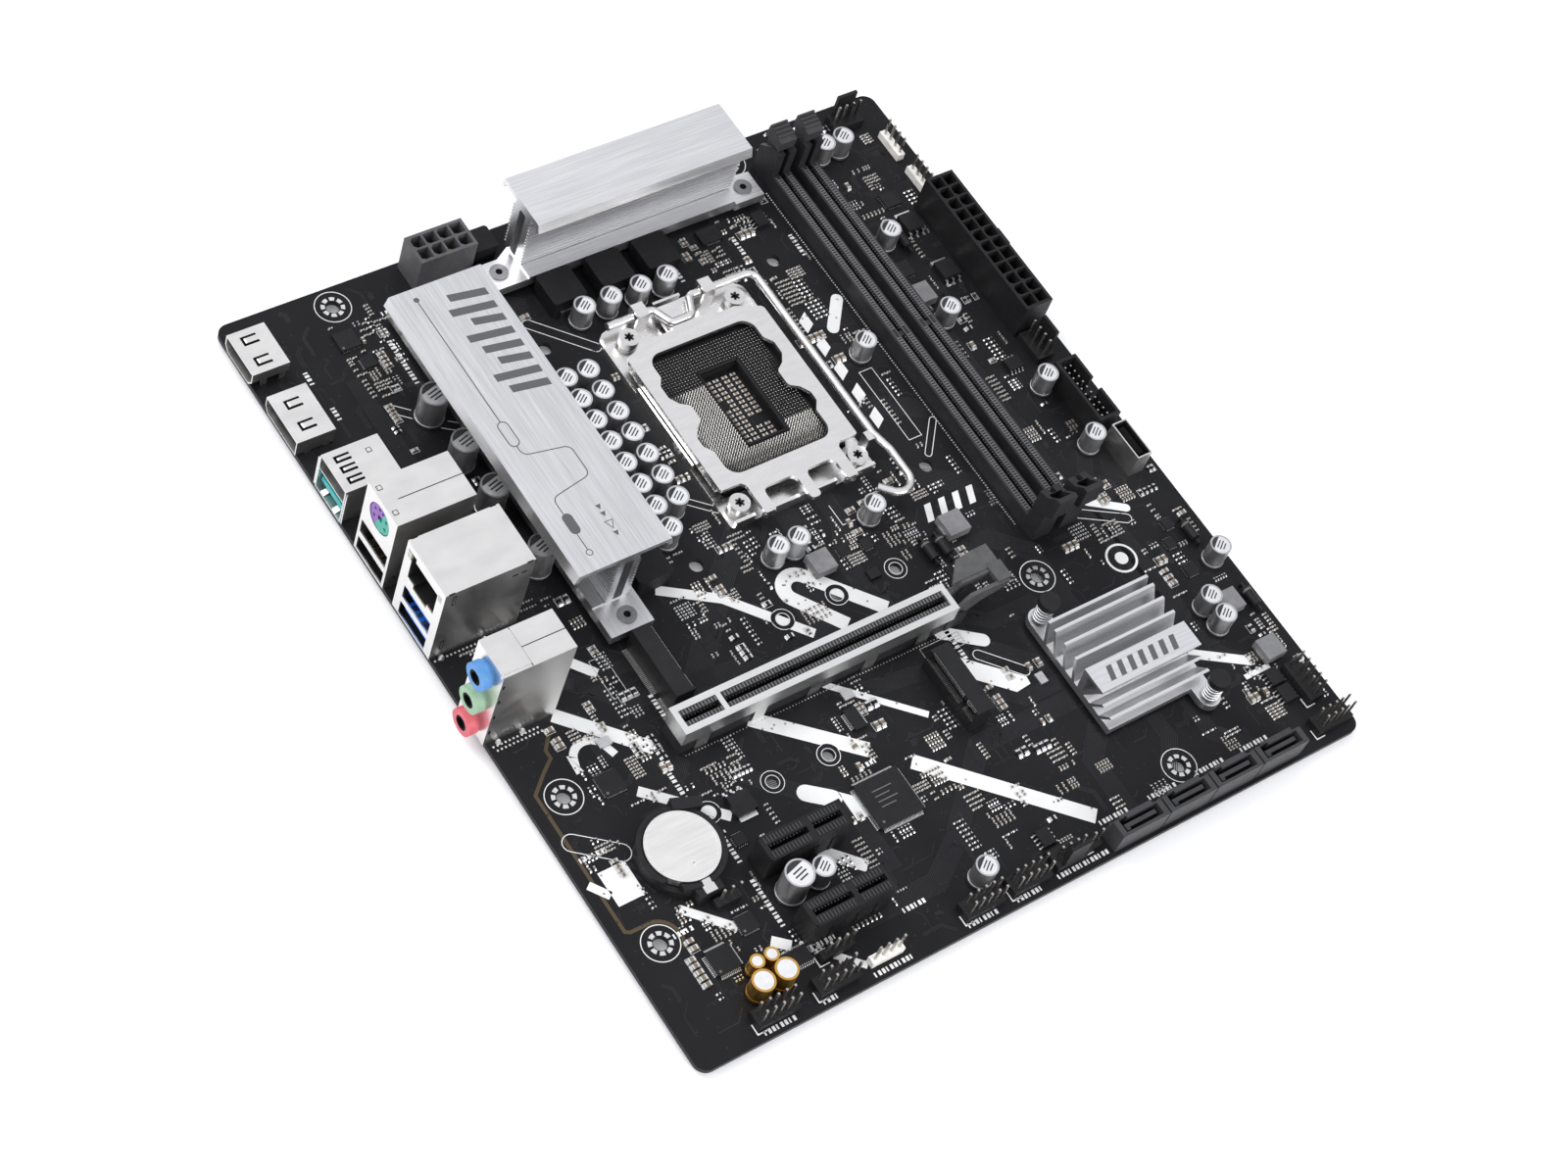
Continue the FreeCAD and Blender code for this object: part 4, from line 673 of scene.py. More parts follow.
for x in (115.0, 117.6, 120.6, 123.4):
    for k in range(15):
        y = 151.6 + 1.5 * k
        if (x > 120 and k in (3, 4)) or (x < 116 and k in (8, 9)):
            continue
        inner_caps.box(x, y, 0.42, 0.4, 0, 0.6)
        for side in (-1, 1):
            inner_ends.box(x + side * 0.635, y, 0.215, 0.42, 0, 0.64)
inner_caps.make("socket_window_parts", "tan")
inner_ends.make("socket_window_ends", "solder")

# ---- memory slots
MEMORY = (173.8, 183.4)             # the middles of the two memory slots
FIRST, STEP = 97.0, 0.885           # the first contact's place, and their pitch
KEY_Y = 162.2
RIB = (5.8, 5.98)
ribs = Shapes()
memory_contacts = Shapes()
for middle in MEMORY:
    for k in range(143):
        y = FIRST + STEP * k
        if abs(y - KEY_Y) < 1.3:
            continue
        for side in (-1, 1):
            ribs.box(middle + side * 1.75, y, 0.6, 0.17, *RIB)
            memory_contacts.box(middle + side * 0.7, y, 0.15, 0.2, 1.6, 5.2)
    for reach in (-2.45, -1.05, 1.05, 2.45):
        ribs.box(middle + reach, 160.25, 0.08, 63.75, *RIB)
# The ribs are black slot plastic; their lighter grey is a painted highlight.
ribs.make("memory_slot_ribs", "rib")
memory_contacts.make("memory_slot_contacts", "spring")
dots = Shapes()
for k in range(144):
    for x in (169.5, 179.1, 188.4):
        dots.disc(x, FIRST + STEP * k, 0, 0.16, 0.3, 6, 0.2)
for k in range(84):
    dots.disc(45 + k, 76.1, 0, 0.14, 0.24, 6, 0.16)
for x0, y, count in ((1.5, 100.2, 12), (2.0, 98.9, 12), (1.0, 128.4, 20)):
    for k in range(count):
        dots.disc(x0 + 1.2 * k, y, 0, 0.14, 0.34, 8, 0.22)
for x, y in ((3.4, 101.0), (10.6, 101.0), (3.0, 128.6), (16.0, 128.6)):
    dots.disc(x, y, 0, 0.9, 0.9, 14, 0.4)
dots.make("memory_solder_dots", "solder")

# ---- expansion slots
cells = Shapes()
long_cells = Shapes()
slot_contacts = Shapes()
SLOT_TOP = 10.9
LONG_SLOT = (44.6, 129.6, 81.2, 56.75, 1.0, 2.3)    # first and last contact, middle, key, reach of the ribs
SHORT_MIDDLES = (40.4, 20.1)
SLOTS = [(LONG_SLOT, long_cells)]
SLOTS += [((44.2, 66.9, middle, 57.0, 1.3, 3.1), cells) for middle in SHORT_MIDDLES]
for (x0, x1, middle, key_x, inner, outer), sheet in SLOTS:
    for k in range(int(x1 - x0) + 1):
        x = x0 + k
        if abs(x - key_x) < 1.1:
            continue
        for side in (-1, 1):
            y = middle + side * (inner + outer) / 2
            sheet.box(x, y, 0.2, (outer - inner) / 2, SLOT_TOP, SLOT_TOP + 0.16)
            slot_contacts.box(x + 0.5, middle + side * 0.76, 0.15, 0.14, 4.0, SLOT_TOP - 1.4)
# The short slots' ribs take dark grey over the slots' black: a painted highlight.
cells.make("slot_ribs", "dark_grey")
long_cells.make("long_slot_ribs", "rib")
slot_contacts.make("slot_contacts", "spring")
rim = Shapes()
for middle in SHORT_MIDDLES:
    for y in (middle - 3.4, middle + 3.4):
        rim.box(55.55, y, 12.75, 0.2, SLOT_TOP, SLOT_TOP + 0.15)
    for x in (42.95, 68.15):
        rim.box(x, middle, 0.2, 3.6, SLOT_TOP, SLOT_TOP + 0.15)
    for x in (50.0, 58.0, 64.0):
        rim.box(x, middle - 3.725, 0.9, 0.125, 0, 6.0)
rim.make("short_slot_rims", "black")

teeth = Shapes()
TAIL = [(0, 0), (1.5, 0), (1.5, 0.5), (1.2, 0.5), (1.0, 0.14), (0, 0.14)]
for tail, mouth, way, middle in ((46.9, 50.4, 1, 99.5), (125.0, 121.7, -1, 59.6)):
    for k in range(42):
        if 8 < k < 12:
            continue
        y = middle - 10.2 + 0.5 * k
        teeth.sweep(TAIL, (tail - 0.3 * way, y, 0), (way, 0), 0.22)
        teeth.box(mouth + way * 3.1, y, 0.9, 0.11, 4.4, 4.62)
        teeth.box(mouth + way * 3.2, y, 0.1, 0.11, 7.0, 8.3)
teeth.make("card_socket_contacts", "solder", slot="contact_gold")

# ---- capacitors
SMALL_CANS = [(82.6, 141.1 + 7.6 * i) for i in range(7)]
SMALL_CANS += [(75.5, 133.5 + 7.6 * i) for i in range(8)]
SMALL_CANS += [
    (93.2, 205.6), (102.0, 205.6), (111.9, 205.6), (120.9, 205.6), (99.1, 116.2), (105.9, 116.2),
    (131.5, 116.2), (161.3, 163.2), (191.6, 163.1), (191.4, 193.5), (191.5, 228.1), (198.2, 228.1),
    (204.4, 131.7), (205.0, 109.1), (215.2, 62.4), (202.3, 50.6), (202.4, 43.9), (94.2, 11.4), (55.6, 30.7),
]
LARGE_CANS = [(38.2, 194.8), (38.0, 178.4), (37.8, 162.9), (39.4, 141.4), (47.2, 30.9)]
AUDIO_CANS = [(x, 17.2, 2.0, 6.1) for x in (26.4, 30.8)] + [(x, 11.6, 3.15, 7.7) for x in (24.2, 31.2)]
tops = Shapes()
moons = Shapes()
bars = Shapes()
for spots, radius, top, lean in ((SMALL_CANS, 3.15, 8.2, 125), (LARGE_CANS, 4.0, 11.3, 105)):
    out = Vector(polar(0, 0, 1, math.radians(lean)))
    aside = Vector((-out.y, out.x))
    for x, y in spots:
        face = radius - 0.45
        tops.disc(x, y, top - 0.15, top - 0.06, face - 0.02, 28)
        moons.slab(arc(x, y, face - 0.06, lean - 58, lean + 58, 12), top - 0.06, top - 0.03)
        for k, length in enumerate((0.42, 0.5, 0.36)):             # plain bars
            middle = Vector((x, y)) + out * radius * (0.2 - 0.28 * k)
            half = aside * length * radius
            bars.slab(bar(middle - half, middle + half, 0.11 * radius), top - 0.06, top - 0.035)
tops.make("can_tops", "can_top")
moons.make("can_polarity_marks", "print_black")
bars.make("can_print", "print_black")
gold_tops = Shapes()
gold_rims = Shapes()
for x, y, radius, top in AUDIO_CANS:
    gold_tops.disc(x, y, top, top + 0.12, radius - 0.5, 24, radius - 0.6)
    gold_rims.ring(x, y, top, top + 0.16, radius - 0.5, radius - 0.02, sides=28)
    gold_rims.ring(x, y, 1.5, 1.9, radius - 0.02, radius + 0.06, sides=28)
gold_tops.make("audio_can_tops", "can_top")
gold_rims.make("audio_can_rims", "gold_can")
seats = Shapes()
for spots, half in ((SMALL_CANS, 3.3), (LARGE_CANS, 4.15)):
    for x, y in spots:
        low, near, far, high = -half, 1 - half, half - 1, half
        corner_cut = [(low, near), (near, low), (far, low), (high, near), (high, high), (low, high)]
        seats.slab([(x + dx, y + dy) for dx, dy in corner_cut], 0, 0.06)
seats.make("can_footprints", "black_matt", slot="pcb")

# ---- heat sink engraving
art = Shapes()
art_fill = Shapes()
TOP = 26.0
ART = 0.02
SKIN = (TOP, TOP + ART)             # between these heights lies all that is engraved on the rear plate
X0 = 41.7                           # the engraved line's place across the rear plate


def rounded(points, radius, steps=8):
    """Rounds the inner corners of an open path."""
    path = [tuple(points[0])]
    for before, corner, after in zip(points, points[1:], points[2:]):
        corner = Vector(corner)
        u = (Vector(before) - corner).normalized()
        w = (Vector(after) - corner).normalized()
        half = math.acos(max(-1.0, min(1.0, u.dot(w)))) / 2
        reach = radius / math.tan(half)
        centre = corner + (u + w).normalized() * (radius / math.sin(half))
        start = corner + u * reach - centre
        turn = start.angle_signed(corner + w * reach - centre)
        begin = math.atan2(start.y, start.x)
        path += [polar(*centre, radius, begin - turn * k / steps) for k in range(steps + 1)]
    return path + [tuple(points[-1])]


art_fill.disc(X0, 214.7, *SKIN, 0.8, 20)
art.line([(X0, 214.0), (X0, 171.6)], 0.3, *SKIN)
art.line(capsule((X0, 170.1), (X0, 164.9), 3.0), 0.3, *SKIN, closed=True)
JOG = [(X0, 163.4), (X0, 160.2), (54.7, 157.8), (54.7, 147.9), (X0, 145.5), (X0, 140.2)]
art.line(rounded(JOG, 2.2), 0.3, *SKIN)
art_fill.slab(capsule((X0 + 0.3, 138.7), (X0 + 0.3, 134.9), 2.9), *SKIN)
art.line([(X0, 133.4), (X0, 128.4)], 0.3, *SKIN)
art.ring(X0, 127.4, *SKIN, 0.75, 1.0, sides=20)
for y, size in ((138.2, 0.8), (135.8, 0.8), (132.4, 1.2), (129.4, 0.8)):
    spot = [(51.4 - size, y + size), (51.4 + size, y + size), (51.4, y - size)]
    if size > 1:
        art.line(spot, 0.22, *SKIN, closed=True)
    else:
        art_fill.slab(spot, *SKIN)
for k, length in enumerate((11.0, 13.0, 9.0, 13.0, 11.0, 9.0, 13.0, 11.0)):      # plain slanted bars
    y = 208.8 - 4.6 * k
    art_fill.slab([(60.8, y), (60.8, y + 2.4), (60.8 - length, y + 4.2), (60.8 - length, y + 1.8)], *SKIN)
art.make("engraved_lines", "engraving")
art_fill.make("engraved_marks", "engraving")
SINK_TOP = 11.8
chip_art = Shapes()
for k in range(7):
    x = 156.0 + 3.7 * k
    chip_art.slab([(x, 39.6), (x + 1.8, 39.6), (x + 3.0, 44.0), (x + 1.2, 44.0)], SINK_TOP, SINK_TOP + ART)
chip_art.make("chipset_marks", "engraving")

# ---- push pin coils
TURNS = 5
SIDES = 24                          # straight pieces in one turn
for number, (x, y) in enumerate(((154.9, 67.2), (184.0, 26.4)), 1):
    wire = bpy.data.curves.new("coil", "CURVE")
    wire.dimensions = "3D"
    wire.bevel_depth = 0.3 * MM
    wire.bevel_resolution = 4
    run = wire.splines.new("POLY")
    steps = SIDES * TURNS
    run.points.add(steps)
    for k, point in enumerate(run.points):
        point.co = (*at(*polar(x, y, 2.3, 2 * math.pi * k / SIDES), 4.4 + 5.9 * k / steps), 1)
    wire.materials.append(MAT["can_top"])
    coil = add_object("push_pin_coil_%d" % number, wire)
    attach(coil, "board")
    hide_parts("push_pin_springs")

# ---- rear ports
dark = Shapes()
shine = Shapes()


def spring_cut(x, y, wide, top, long=4.6):
    """A U-shaped cut in a port's top sheet, with a bent spring tongue in it."""
    for side in (-1, 1):
        dark.box(x + long / 2, y + side * wide / 2, long / 2, 0.36, top, top + 0.04)
    dark.box(x + 0.4, y, 0.4, wide / 2, top, top + 0.04)
    shine.sweep([(0.6, 0.02), (long, 0.02), (long, 0.1), (1.2, 0.1)], (x, y, top), (1, 0), wide - 0.7)


for x, wide, top, rows in ((2.2, 2.3, 5.9, (226.0, 233.2)), (2.6, 2.3, 5.9, (203.0, 210.4)),
                           (2.0, 1.5, 14.0, (178.4, 182.0, 185.4))):
    for y in rows:
        spring_cut(x, y, wide, top)
for x, y, top in ((11.8, 184.8, 14.0), (1.3, 165.2, 29.1), (1.3, 157.0, 29.1)):
    dark.box(x, y, 0.75, 0.75, top, top + 0.03)
    shine.box(x, y, 0.55, 0.55, top, top + 0.06)
NET_SIDE = 129.6                    # the network stack's lower side
AUDIO_SIDE = 101.8
CUTS = [
    (4.0, 160.2, 29.1, 23.0, 160.45, 29.13), (7.6, 107.6, 32.9, 20.6, 107.85, 32.93),
    (7.6, 101.9, 32.9, 7.85, 113.9, 32.93), (4.0, 153.17, 3.0, 5.2, 153.2, 9.0),
    (4.0, 153.17, 14.0, 5.2, 153.2, 20.0), (211.85, 97.35, 8.0, 213.75, 107.05, 8.05),
]
CUTS += [(x, NET_SIDE - 0.03, 25.6, x + 1.6, NET_SIDE, 26.2) for x in (20.0, 22.6)]
CUTS += [(-0.2, AUDIO_SIDE - 0.03, z, 0.4, AUDIO_SIDE, z + 1.6) for z in (5.0, 12.5, 20.0, 27.0)]
CUTS += [(x - 0.9, y - 0.2, 29.9, x + 0.9, y + 0.2, 29.93) for x in (1.5, 24.5) for y in (148.1, NET_SIDE)]
for z in (3.0, 24.0):                                              # louvres
    CUTS.append((2.2, NET_SIDE - 0.03, z, 3.2, NET_SIDE, z + 4.0))
    shine.block(2.4, NET_SIDE - 0.08, z + 0.4, 3.0, NET_SIDE, z + 3.6)
for box in CUTS:
    dark.block(*box)
bore, sleeve = circle(0, 0, 1.6, 20, 0), circle(0, 0, 2.2, 20, 0)
for z in (4.7, 15.8, 26.9):                                        # the audio jacks' bores: a sleeve and a back wall of painted shade
    for k in range(20):
        dark.sweep([bore[k - 1], sleeve[k - 1], sleeve[k], bore[k]], (-2.9, 107.9, z), (0, 1), 3.06)
    dark.sweep(circle(0, 0, 1.7, 20, 0), (-1.6, 107.9, z), (0, 1), 0.3)
dark.line([(210.8, 96.4), (214.8, 96.4), (214.8, 108.0), (210.8, 108.0)], 0.3, 1.0, 8.5, closed=True)
jack_pins = Shapes()
NET_Y, USB_Y = 138.85, 160.55        # the middles of the two stacks
JACK_PIN = [(0, 0), (0.4, 0), (7.0, -3.4), (6.7, -3.7), (0, -0.3)]
for shift in spread(8, 1.05):
    jack_pins.sweep(JACK_PIN, (1.4, NET_Y + shift, 25.6), (1, 0), 0.4)
jack_pins.make("network_jack_contacts", "gold")
port_pins = Shapes()
PIN_ROWS = [         # ends, first edge, pitch, heights, thickness
    (1.6, 8.0, USB_Y - 4.0, 2.5, (12.2, 4.7), 0.12), (1.6, 7.0, NET_Y - 4.2, 2.5, (11.12, 3.72), 0.1),
    (1.4, 7.0, 177.8, 2.4, (4.9,), 0.1),
]
for x0, x1, y, pitch, levels, thick in PIN_ROWS:
    for z in levels:
        for k in range(4):
            port_pins.block(x0, y + pitch * k, z, x1, y + pitch * k + 1.0, z + thick)
port_pins.make("port_contacts", "gold")
BENT_DOWN = [(-0.1, 0), (3.2, -1.1), (3.2, -0.95), (-0.1, 0.16)]
BENT_UP = [(-0.1, 0), (3.2, 1.0), (3.2, 0.85), (-0.1, -0.16)]
SHELL_SPRINGS = [
    (BENT_DOWN, NET_Y, 13.2), (BENT_DOWN, NET_Y, 5.8), (BENT_DOWN, USB_Y, 13.5), (BENT_DOWN, USB_Y, 6.0),
    (BENT_UP, 181.9, 0.9),
]
for profile, y, z in SHELL_SPRINGS:
    for side in (-3.0, 3.0):
        shine.sweep(profile, (0, y + side, z), (1, 0), 1.6)
dark.make("port_cuts", "void")
drives = Shapes()
FRAME_SCREWS = [(100.8, 193.1), (136.7, 193.1), (98.9, 133.7), (138.4, 133.1)]
SINK_SCREWS = [(51.3, 116.6), (51.3, 223.4), (78.6, 226.6), (160.6, 225.2)]
for spots, low, reach in ((FRAME_SCREWS, 3.38, 1.46), (SINK_SCREWS, 4.9, 0.98)):
    for x, y in spots:
        drives.disc(x, y, low, low + 0.14, reach, 20)
drives.make("fastener_recesses", "void")
shine.make("port_springs", "steel")
lamps = Shapes()
for y in (130.7, 145.4):
    lamps.block(-0.32, y, 24.8, 0.6, y + 1.6, 27.2)
lamps.make("network_lamps", "lamp")

# ---- leads of the chips
leads = Shapes()


def lead_row(x, y, half_along, half_across, sides, count, pitch, wide, foot=0.9, tall=0.7):
    """Gull-wing leads on the named sides of a chip."""
    profile = [(0, tall), (0, tall - 0.14), (foot * 0.35, tall - 0.16), (foot * 0.5, 0.0)]
    profile += [(foot, 0.0), (foot, 0.14), (foot * 0.58, 0.16), (foot * 0.42, tall)]
    for side in sides:
        way = {"E": (1, 0), "W": (-1, 0), "N": (0, 1), "S": (0, -1)}[side]
        for shift in spread(count, pitch):
            edge_x = x + way[0] * half_along + abs(way[1]) * shift
            edge_y = y + way[1] * half_across + abs(way[0]) * shift
            leads.sweep(profile, (edge_x, edge_y, 0), way, wide)


SMALL_OUTLINE = (4, 1.27, 0.42, 1.1)       # eight leads
THREE_LEADS = (3, 2.28, 0.7, 2.0, 1.1)
LEAD_ROWS = [
    (86.0, 41.6, 7.0, 7.0, "EWNS", 32, 0.4, 0.2), (21.4, 23.1, 3.5, 3.5, "EWNS", 12, 0.5, 0.24),
    (38.4, 15.0, 3.9, 2.2, "NS", 12, 0.65, 0.28), (117.4, 13.0, 1.95, 2.5, "EW", *SMALL_OUTLINE),
    (91.6, 65.3, 1.9, 3.2, "EW", 10, 0.5, 0.22), (207.2, 23.8, 2.1, 2.5, "EW", *SMALL_OUTLINE),
    (207.2, 17.9, 2.1, 2.5, "EW", *SMALL_OUTLINE), (161.6, 215.8, 2.0, 2.5, "EW", *SMALL_OUTLINE),
    (201.8, 142.0, 2.5, 1.95, "NS", *SMALL_OUTLINE), (49.8, 57.6, 3.2, 3.0, "N", *THREE_LEADS),
    (203.2, 196.8, 2.9, 3.0, "S", *THREE_LEADS), (203.2, 178.0, 2.9, 3.0, "S", *THREE_LEADS),
]
for row in LEAD_ROWS:
    lead_row(*row)
flat_pads = Shapes()
FLAT_CHIPS = [      # middle, half width, pads on each side that has them
    (22.8, 78.0, 3.2, 12), (32.5, 28.9, 2.5, 9), (30.6, 225.9, 3.0, 10), (32.4, 217.3, 1.9, 6),
    (44.0, 49.4, 1.7, 5), (118.9, 110.4, 1.6, 5), (126.2, 109.4, 1.6, 5), (207.2, 72.2, 1.6, 5),
    (207.4, 62.6, 2.0, 6), (210.6, 77.8, 1.7, 5), (202.8, 206.6, 2.5, 7), (191.4, 183.4, 2.7, 8),
    (144.4, 216.8, 2.5, 8),
]
for x, y, half, count in FLAT_CHIPS:
    for shift in spread(count, 2 * half / (count + 0.6)):
        for side in (-1, 1):
            if x not in (144.4, 30.6):
                flat_pads.box(x + side * (half + 0.15), y + shift, 0.15, 0.12, 0, 0.2)
            flat_pads.box(x + shift, y + side * (half + 0.15), 0.12, 0.15, 0, 0.2)
for x, y in ((49.8, 53.95), (203.2, 200.45), (203.2, 181.65)):
    flat_pads.box(x, y, 2.7, 0.75, 0, 0.5)
for side in (-1, 1):                # terminals of the large chokes, then of the small ones
    for y in [127.8 + 15.4 * i for i in range(6)]:
        flat_pads.box(64.6 + side * 5.55, y, 0.2, 2.6, 0, 1.6)
    for x in (92.1, 108.3, 123.9):
        flat_pads.box(x, 215.4 + side * 5.55, 2.6, 0.2, 0, 1.6)
    for x, y, half in ((110.3, 109.2, 3.3), (151.9, 103.7, 3.5), (190.3, 173.1, 3.3), (210.2, 48.6, 3.3),
                       (211.4, 31.3, 3.3)):
        flat_pads.box(x + side * (half + 0.25), y, 0.25, 1.6, 0, 1.0)
leads.make("chip_leads", "solder")
flat_pads.make("terminals", "solder")
chip_marks = Shapes()
FIRST_PINS = [(86.0, 41.6, 5.4, 1.4), (21.4, 23.1, 2.6, 1.4), (22.8, 78.0, 2.4, 0.9), (32.5, 28.9, 1.8, 0.9)]
for x, y, reach, top in FIRST_PINS + [(30.6, 225.9, 2.2, 0.9)]:
    chip_marks.disc(x - reach, y - reach, top, top + 0.02, 0.38, 14)
for k in range(4):
    chip_marks.block(82.6, 44.6 - 1.6 * k, 1.4, 88.8 - (k % 2) * 1.6, 44.9 - 1.6 * k, 1.41)
chip_marks.make("chip_marks", "laser", slot="chip")

# ---- small things on the larger parts
trim = Shapes()
for x, y in ((140.7, 99.5), (145.3, 99.2), (214.6, 72.7), (217.4, 47.2), (197.2, 192.4)):
    trim.sweep(circle(0, 1.6, 1.38, 20, 0), (x, y + 2.0, 0), (1, 0), 0.6)
trim.make("diode_bands", "laser", slot="grey_ferrite")
crown = Shapes()
crown.ring(27.4, 52.8, 5.2, 5.24, 9.1, 9.25, sides=48)
crown.block(25.6, 47.4, 5.2, 29.2, 47.7, 5.24)
crown.block(27.25, 45.75, 5.2, 27.55, 49.35, 5.24)
crown.make("cell_relief", "cell", body="cell")
clip = Shapes()
clip.block(26.0, 38.9, 4.2, 29.4, 42.6, 4.5)
clip.sweep([(0, 0), (2.0, 0.6), (2.0, 0.9), (0, 0.4)], (27.7, 40.5, 4.2), (0, 1), 2.4)
clip.make("battery_clip", "steel")
corners = Shapes()
for x0, y0 in ((18.4, 2.3), (37.1, 2.3), (83.5, 2.2), (98.9, 2.2), (124.4, 3.9), (206.5, 2.6), (210.4, 11.9),
               (42.8, 10.2)):
    corners.line([(x0, y0 + 3.0), (x0, y0), (x0 + 3.0, y0)], 0.35, 0, INK)
for x0, y0, x1, y1 in ((106.2, 117.0, 112.0, 124.5), (124.0, 117.5, 131.0, 124.5)):
    corners.line([(x0, y1), (x0, y0), (x1, y0), (x1, y0 + 2.4)], 0.22, 0, INK)
corners.slab([(6.2, 47.5), (14.3, 47.5), (14.3, 57.8), (6.2, 57.8)], 0, INK)
for k in range(5):                                                 # a plain scale of bars beside the lever
    y = 140.0 + 9.0 * k
    corners.slab([(152.0, y), (155.4, y + 2.2), (155.4, y + 6.8), (152.0, y + 4.6)], 0, INK)
for k in range(4):
    x = 146.8 + 4.9 * k
    corners.slab([(x, 107.8), (x + 2.2, 107.8), (x + 4.4, 113.2), (x + 2.2, 113.2)], 0, INK)
corners.ring(191.3, 74.4, 0, INK, 4.1, 4.8, sides=32)
corners.disc(191.3, 74.4, 0, INK, 2.0, 20)
corners.make("printed_corners", "silk")
dashes = Shapes()
DASHED_ROWS = [     # first dash, number of dashes
    (20, 1.2, 8), (38, 1.2, 4), (54, 1.2, 10), (84, 1.2, 8), (100, 1.2, 7), (114, 1.6, 8), (124, 1.6, 6),
    (134, 9.2, 8), (151, 9.2, 8), (168, 9.2, 8), (184, 9.2, 8), (71, 12.6, 6), (43, 15.0, 7), (4, 62, 7),
    (14, 33.6, 5), (44, 229.4, 7), (85.5, 52, 4),
]
DASHED_COLUMNS = [
    (37.5, 62, 13), (40.0, 44, 12), (40.0, 24, 12), (45.6, 86, 8), (130, 66, 10), (12.6, 116.4, 5),
    (15.5, 204, 4), (14.5, 217, 4), (40.6, 206, 13), (150, 206, 7), (128, 206, 5), (166.6, 200, 7),
    (8.0, 190, 2),
]
for spots, upright in ((DASHED_ROWS, False), (DASHED_COLUMNS, True)):
    for x, y, count in spots:
        for k in range(count):
            along = 1.25 * k
            long = 0.8 if k % 3 else 0.45
            if upright:
                dashes.block(x, y + along, 0, x + 1.35, y + along + long, INK)
            else:
                dashes.block(x + along, y, 0, x + along + long, y + 1.35, INK)
dashes.make("printed_dashes", "silk")

# ---- underside
under = Shapes()


def joint(x, y, radius):
    under.disc(x, y, -BOARD_T - 0.06, -BOARD_T, radius * 0.98, 10)
    under.disc(x, y, -BOARD_T - 0.75, -BOARD_T - 0.05, radius * 0.42, 8, radius * 0.85)


def joint_field(x, y, columns, rows, pitch_x, pitch_y, radius):
    for dx in spread(columns, pitch_x):
        for dy in spread(rows, pitch_y):
            joint(x + dx, y + dy, radius)


HEADERS = [         # middle, columns, rows
    (25.1, 5.4, 5, 2), (43.8, 5.4, 5, 2), (48.6, 12.0, 4, 1), (90.2, 5.3, 5, 2), (105.6, 5.3, 5, 2),
    (127.3, 5.6, 2, 1), (213.2, 5.8, 5, 2), (213.6, 18.8, 2, 5), (31.2, 36.3, 3, 1), (59.3, 5.0, 4, 1),
    (214.9, 223.4, 1, 4), (214.9, 209.0, 1, 4), (119.3, 6.3, 4, 1), (211.6, 144.2, 1, 4),
    (206.8, 237.0, 4, 1),
]
FIELDS = [(*header, 2.54, 2.54, 0.75) for header in HEADERS]
FIELDS += [
    (213.2, 175.9, 2, 12, 4.2, 4.2, 1.15), (65.2, 237.6, 4, 2, 4.2, 4.2, 1.15),
    (14.0, 138.8, 3, 7, 3.36, 2.1, 0.6), (12.0, 160.5, 4, 5, 3.68, 2.3, 0.6),
    (10.0, 181.9, 3, 4, 4.0, 2.5, 0.6), (10.0, 107.9, 3, 4, 4.16, 2.6, 0.6),
]
for field in FIELDS:
    joint_field(*field)
for middle in MEMORY:
    for k in range(144):
        for column in (-1.9, -0.65, 0.65, 1.9):
            if (k + int(column > 0)) % 2:
                joint(middle + column, FIRST + STEP * k, 0.38)
for x0, count, middle in ((44.6, 86, 81.2), (44.2, 23, 40.4), (44.2, 23, 20.1)):
    for k in range(count):
        for column in (-2.0, 2.0):
            joint(x0 + k, middle + column + (k % 2) * 0.9, 0.38)
for x, y in SMALL_CANS + LARGE_CANS:
    for side in (-1.25, 1.25):
        joint(x, y + side, 0.7)
for index in range(4):
    for k in range(7):
        joint(134.6 + 16.6 * index + 1.27 * k, 4.2 + (k % 2) * 1.2, 0.42)
under.make("solder_joints", "solder")
below = Shapes()
below_ends = Shapes()
for _ in range(260):
    x, y = somewhere(8, 8)
    blocked = 90 < x < 147 and 125 < y < 202 and not (104 < x < 133 and 147 < y < 179)
    near_joint = x > 168 and 94 < y < 228 or y < 14 or 12 < y < 46 and 42 < x < 70 or 76 < y < 86 and x < 134
    if blocked or near_joint or not clear_of_holes([(x, y)], 2.0):
        continue
    for k in range(rng.choice((1, 2, 3))):
        px = x + 1.3 * k
        below.box(px, y, 0.3, 0.55, -BOARD_T - 0.5, -BOARD_T)
        for side in (-1, 1):
            below_ends.box(px, y + side * 0.75, 0.42, 0.2, -BOARD_T - 0.54, -BOARD_T)
below.make("underside_parts", "tan")
below_ends.make("underside_part_ends", "solder")
under_tracks = Shapes()
for _ in range(420):
    x, y = somewhere(6, 40)
    path = bent_path(x, y, rng.uniform(4, 22))
    if fits(path):
        bundle(under_tracks, path, rng.choice((1, 2, 4, 6)), 0.5, 0.22, -BOARD_T - TRACK, -BOARD_T)
under_tracks.make("underside_tracks", "track")

# ---- floor, light and camera
BACKDROP = (0.86, 0.86, 0.87)
bpy.ops.mesh.primitive_plane_add(size=8, location=(0, 0, CAD_BOX[0][2]))
floor = bpy.context.object
floor.name = "floor"
paper = Graph("paper_floor", Roughness=0.9)
paper.color(paper.noise(0.02, 3), [(0.3, tint(BACKDROP, 0.99)), (0.7, BACKDROP)])
paper.bsdf.inputs["Emission Color"].default_value = (1, 1, 1, 1)
paper.bsdf.inputs["Emission Strength"].default_value = 0.12
floor.data.materials.append(paper.mat)

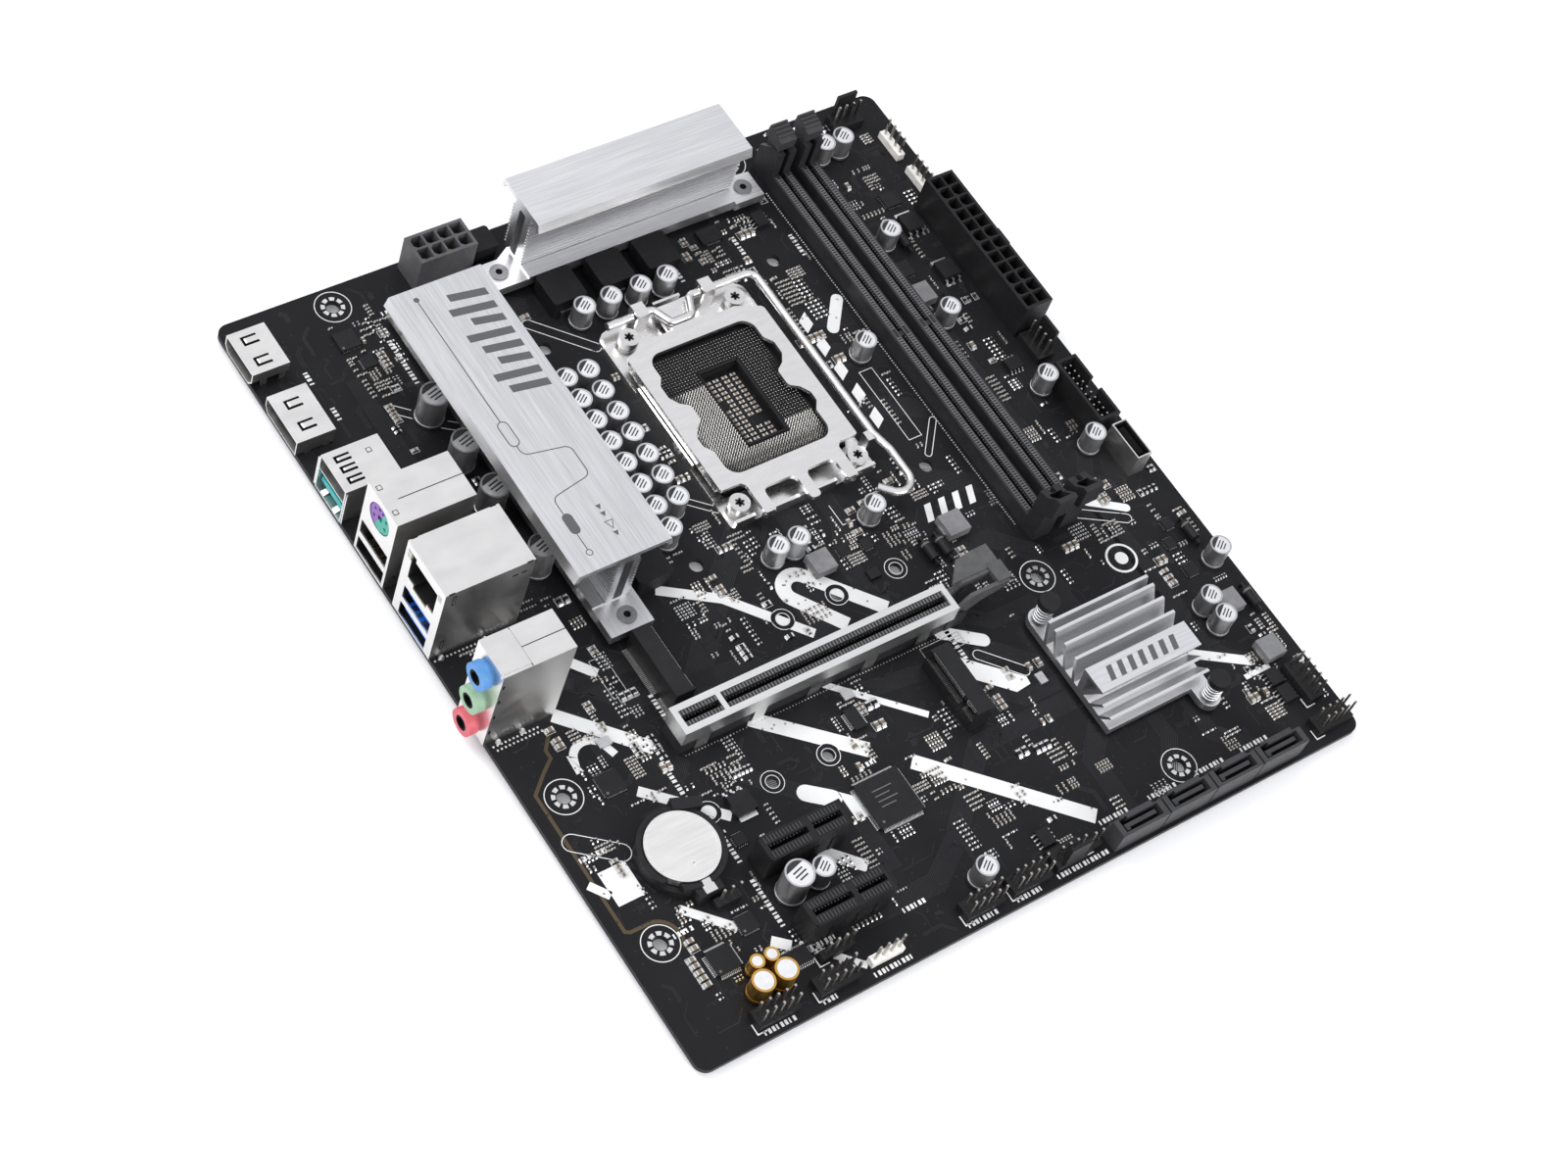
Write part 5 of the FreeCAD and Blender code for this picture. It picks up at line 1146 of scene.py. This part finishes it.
world = bpy.data.worlds.new("studio")
bpy.context.scene.world = world
world.use_nodes = True
sky = world.node_tree
KINDS = ("ShaderNodeValToRGB", "ShaderNodeSeparateXYZ", "ShaderNodeTexCoord")
sky_ramp, sky_split, sky_space = [sky.nodes.new(kind) for kind in KINDS]
sky.links.new(sky_space.outputs["Generated"], sky_split.inputs[0])
sky.links.new(sky_split.outputs["Z"], sky_ramp.inputs["Fac"])
sky.links.new(sky_ramp.outputs["Color"], sky.nodes["Background"].inputs["Color"])
HORIZON, ZENITH = (0.22, 0.22, 0.23, 1), (0.95, 0.96, 1.0, 1)
for stop, spot, shade in zip(sky_ramp.color_ramp.elements, (0.0, 0.9), (HORIZON, ZENITH)):
    stop.position = spot
    stop.color = shade
sky.nodes["Background"].inputs["Strength"].default_value = 1.0
bpy.context.scene.view_settings.view_transform = "Standard"

MIDDLE = at(110, 120, 0)


def soft_box(name, spot, size, power):
    """A rectangular lamp that faces the middle of the board."""
    lamp = bpy.data.lights.new(name, "AREA")
    lamp.shape = "RECTANGLE"
    lamp.size, lamp.size_y = size
    lamp.energy = power
    item = add_object(name, lamp)
    item.location = spot
    item.rotation_euler = (MIDDLE - Vector(spot)).to_track_quat("-Z", "Y").to_euler()


soft_box("key", (-0.35, 0.8, 1.0), (0.8, 0.8), 9)
soft_box("fill", (-0.9, -0.1, 0.6), (0.5, 0.8), 3)
soft_box("side", (0.25, -0.95, 0.45), (0.9, 0.5), 8)

# The camera looks down across the board from beyond its lower rear corner, tilted to one side.
CAMERA_SPOT = Vector((-0.311753, -0.263530, 0.685448))
CAMERA_AIM = Vector((0.0881795, 0.0282678, 0.0))
CAMERA_TILT = 23.9796
CAMERA_LENS = 72.5634
view = bpy.data.cameras.new("view")
view.sensor_width = 36.0
view.lens = CAMERA_LENS
view.clip_start = 0.01
camera = add_object("view", view)
level = (CAMERA_AIM - CAMERA_SPOT).to_track_quat("-Z", "Y").to_matrix()
tilt = Matrix.Rotation(math.radians(CAMERA_TILT), 3, "Z")
camera.matrix_world = Matrix.Translation(CAMERA_SPOT) @ (level @ tilt).to_4x4()
bpy.context.scene.camera = camera
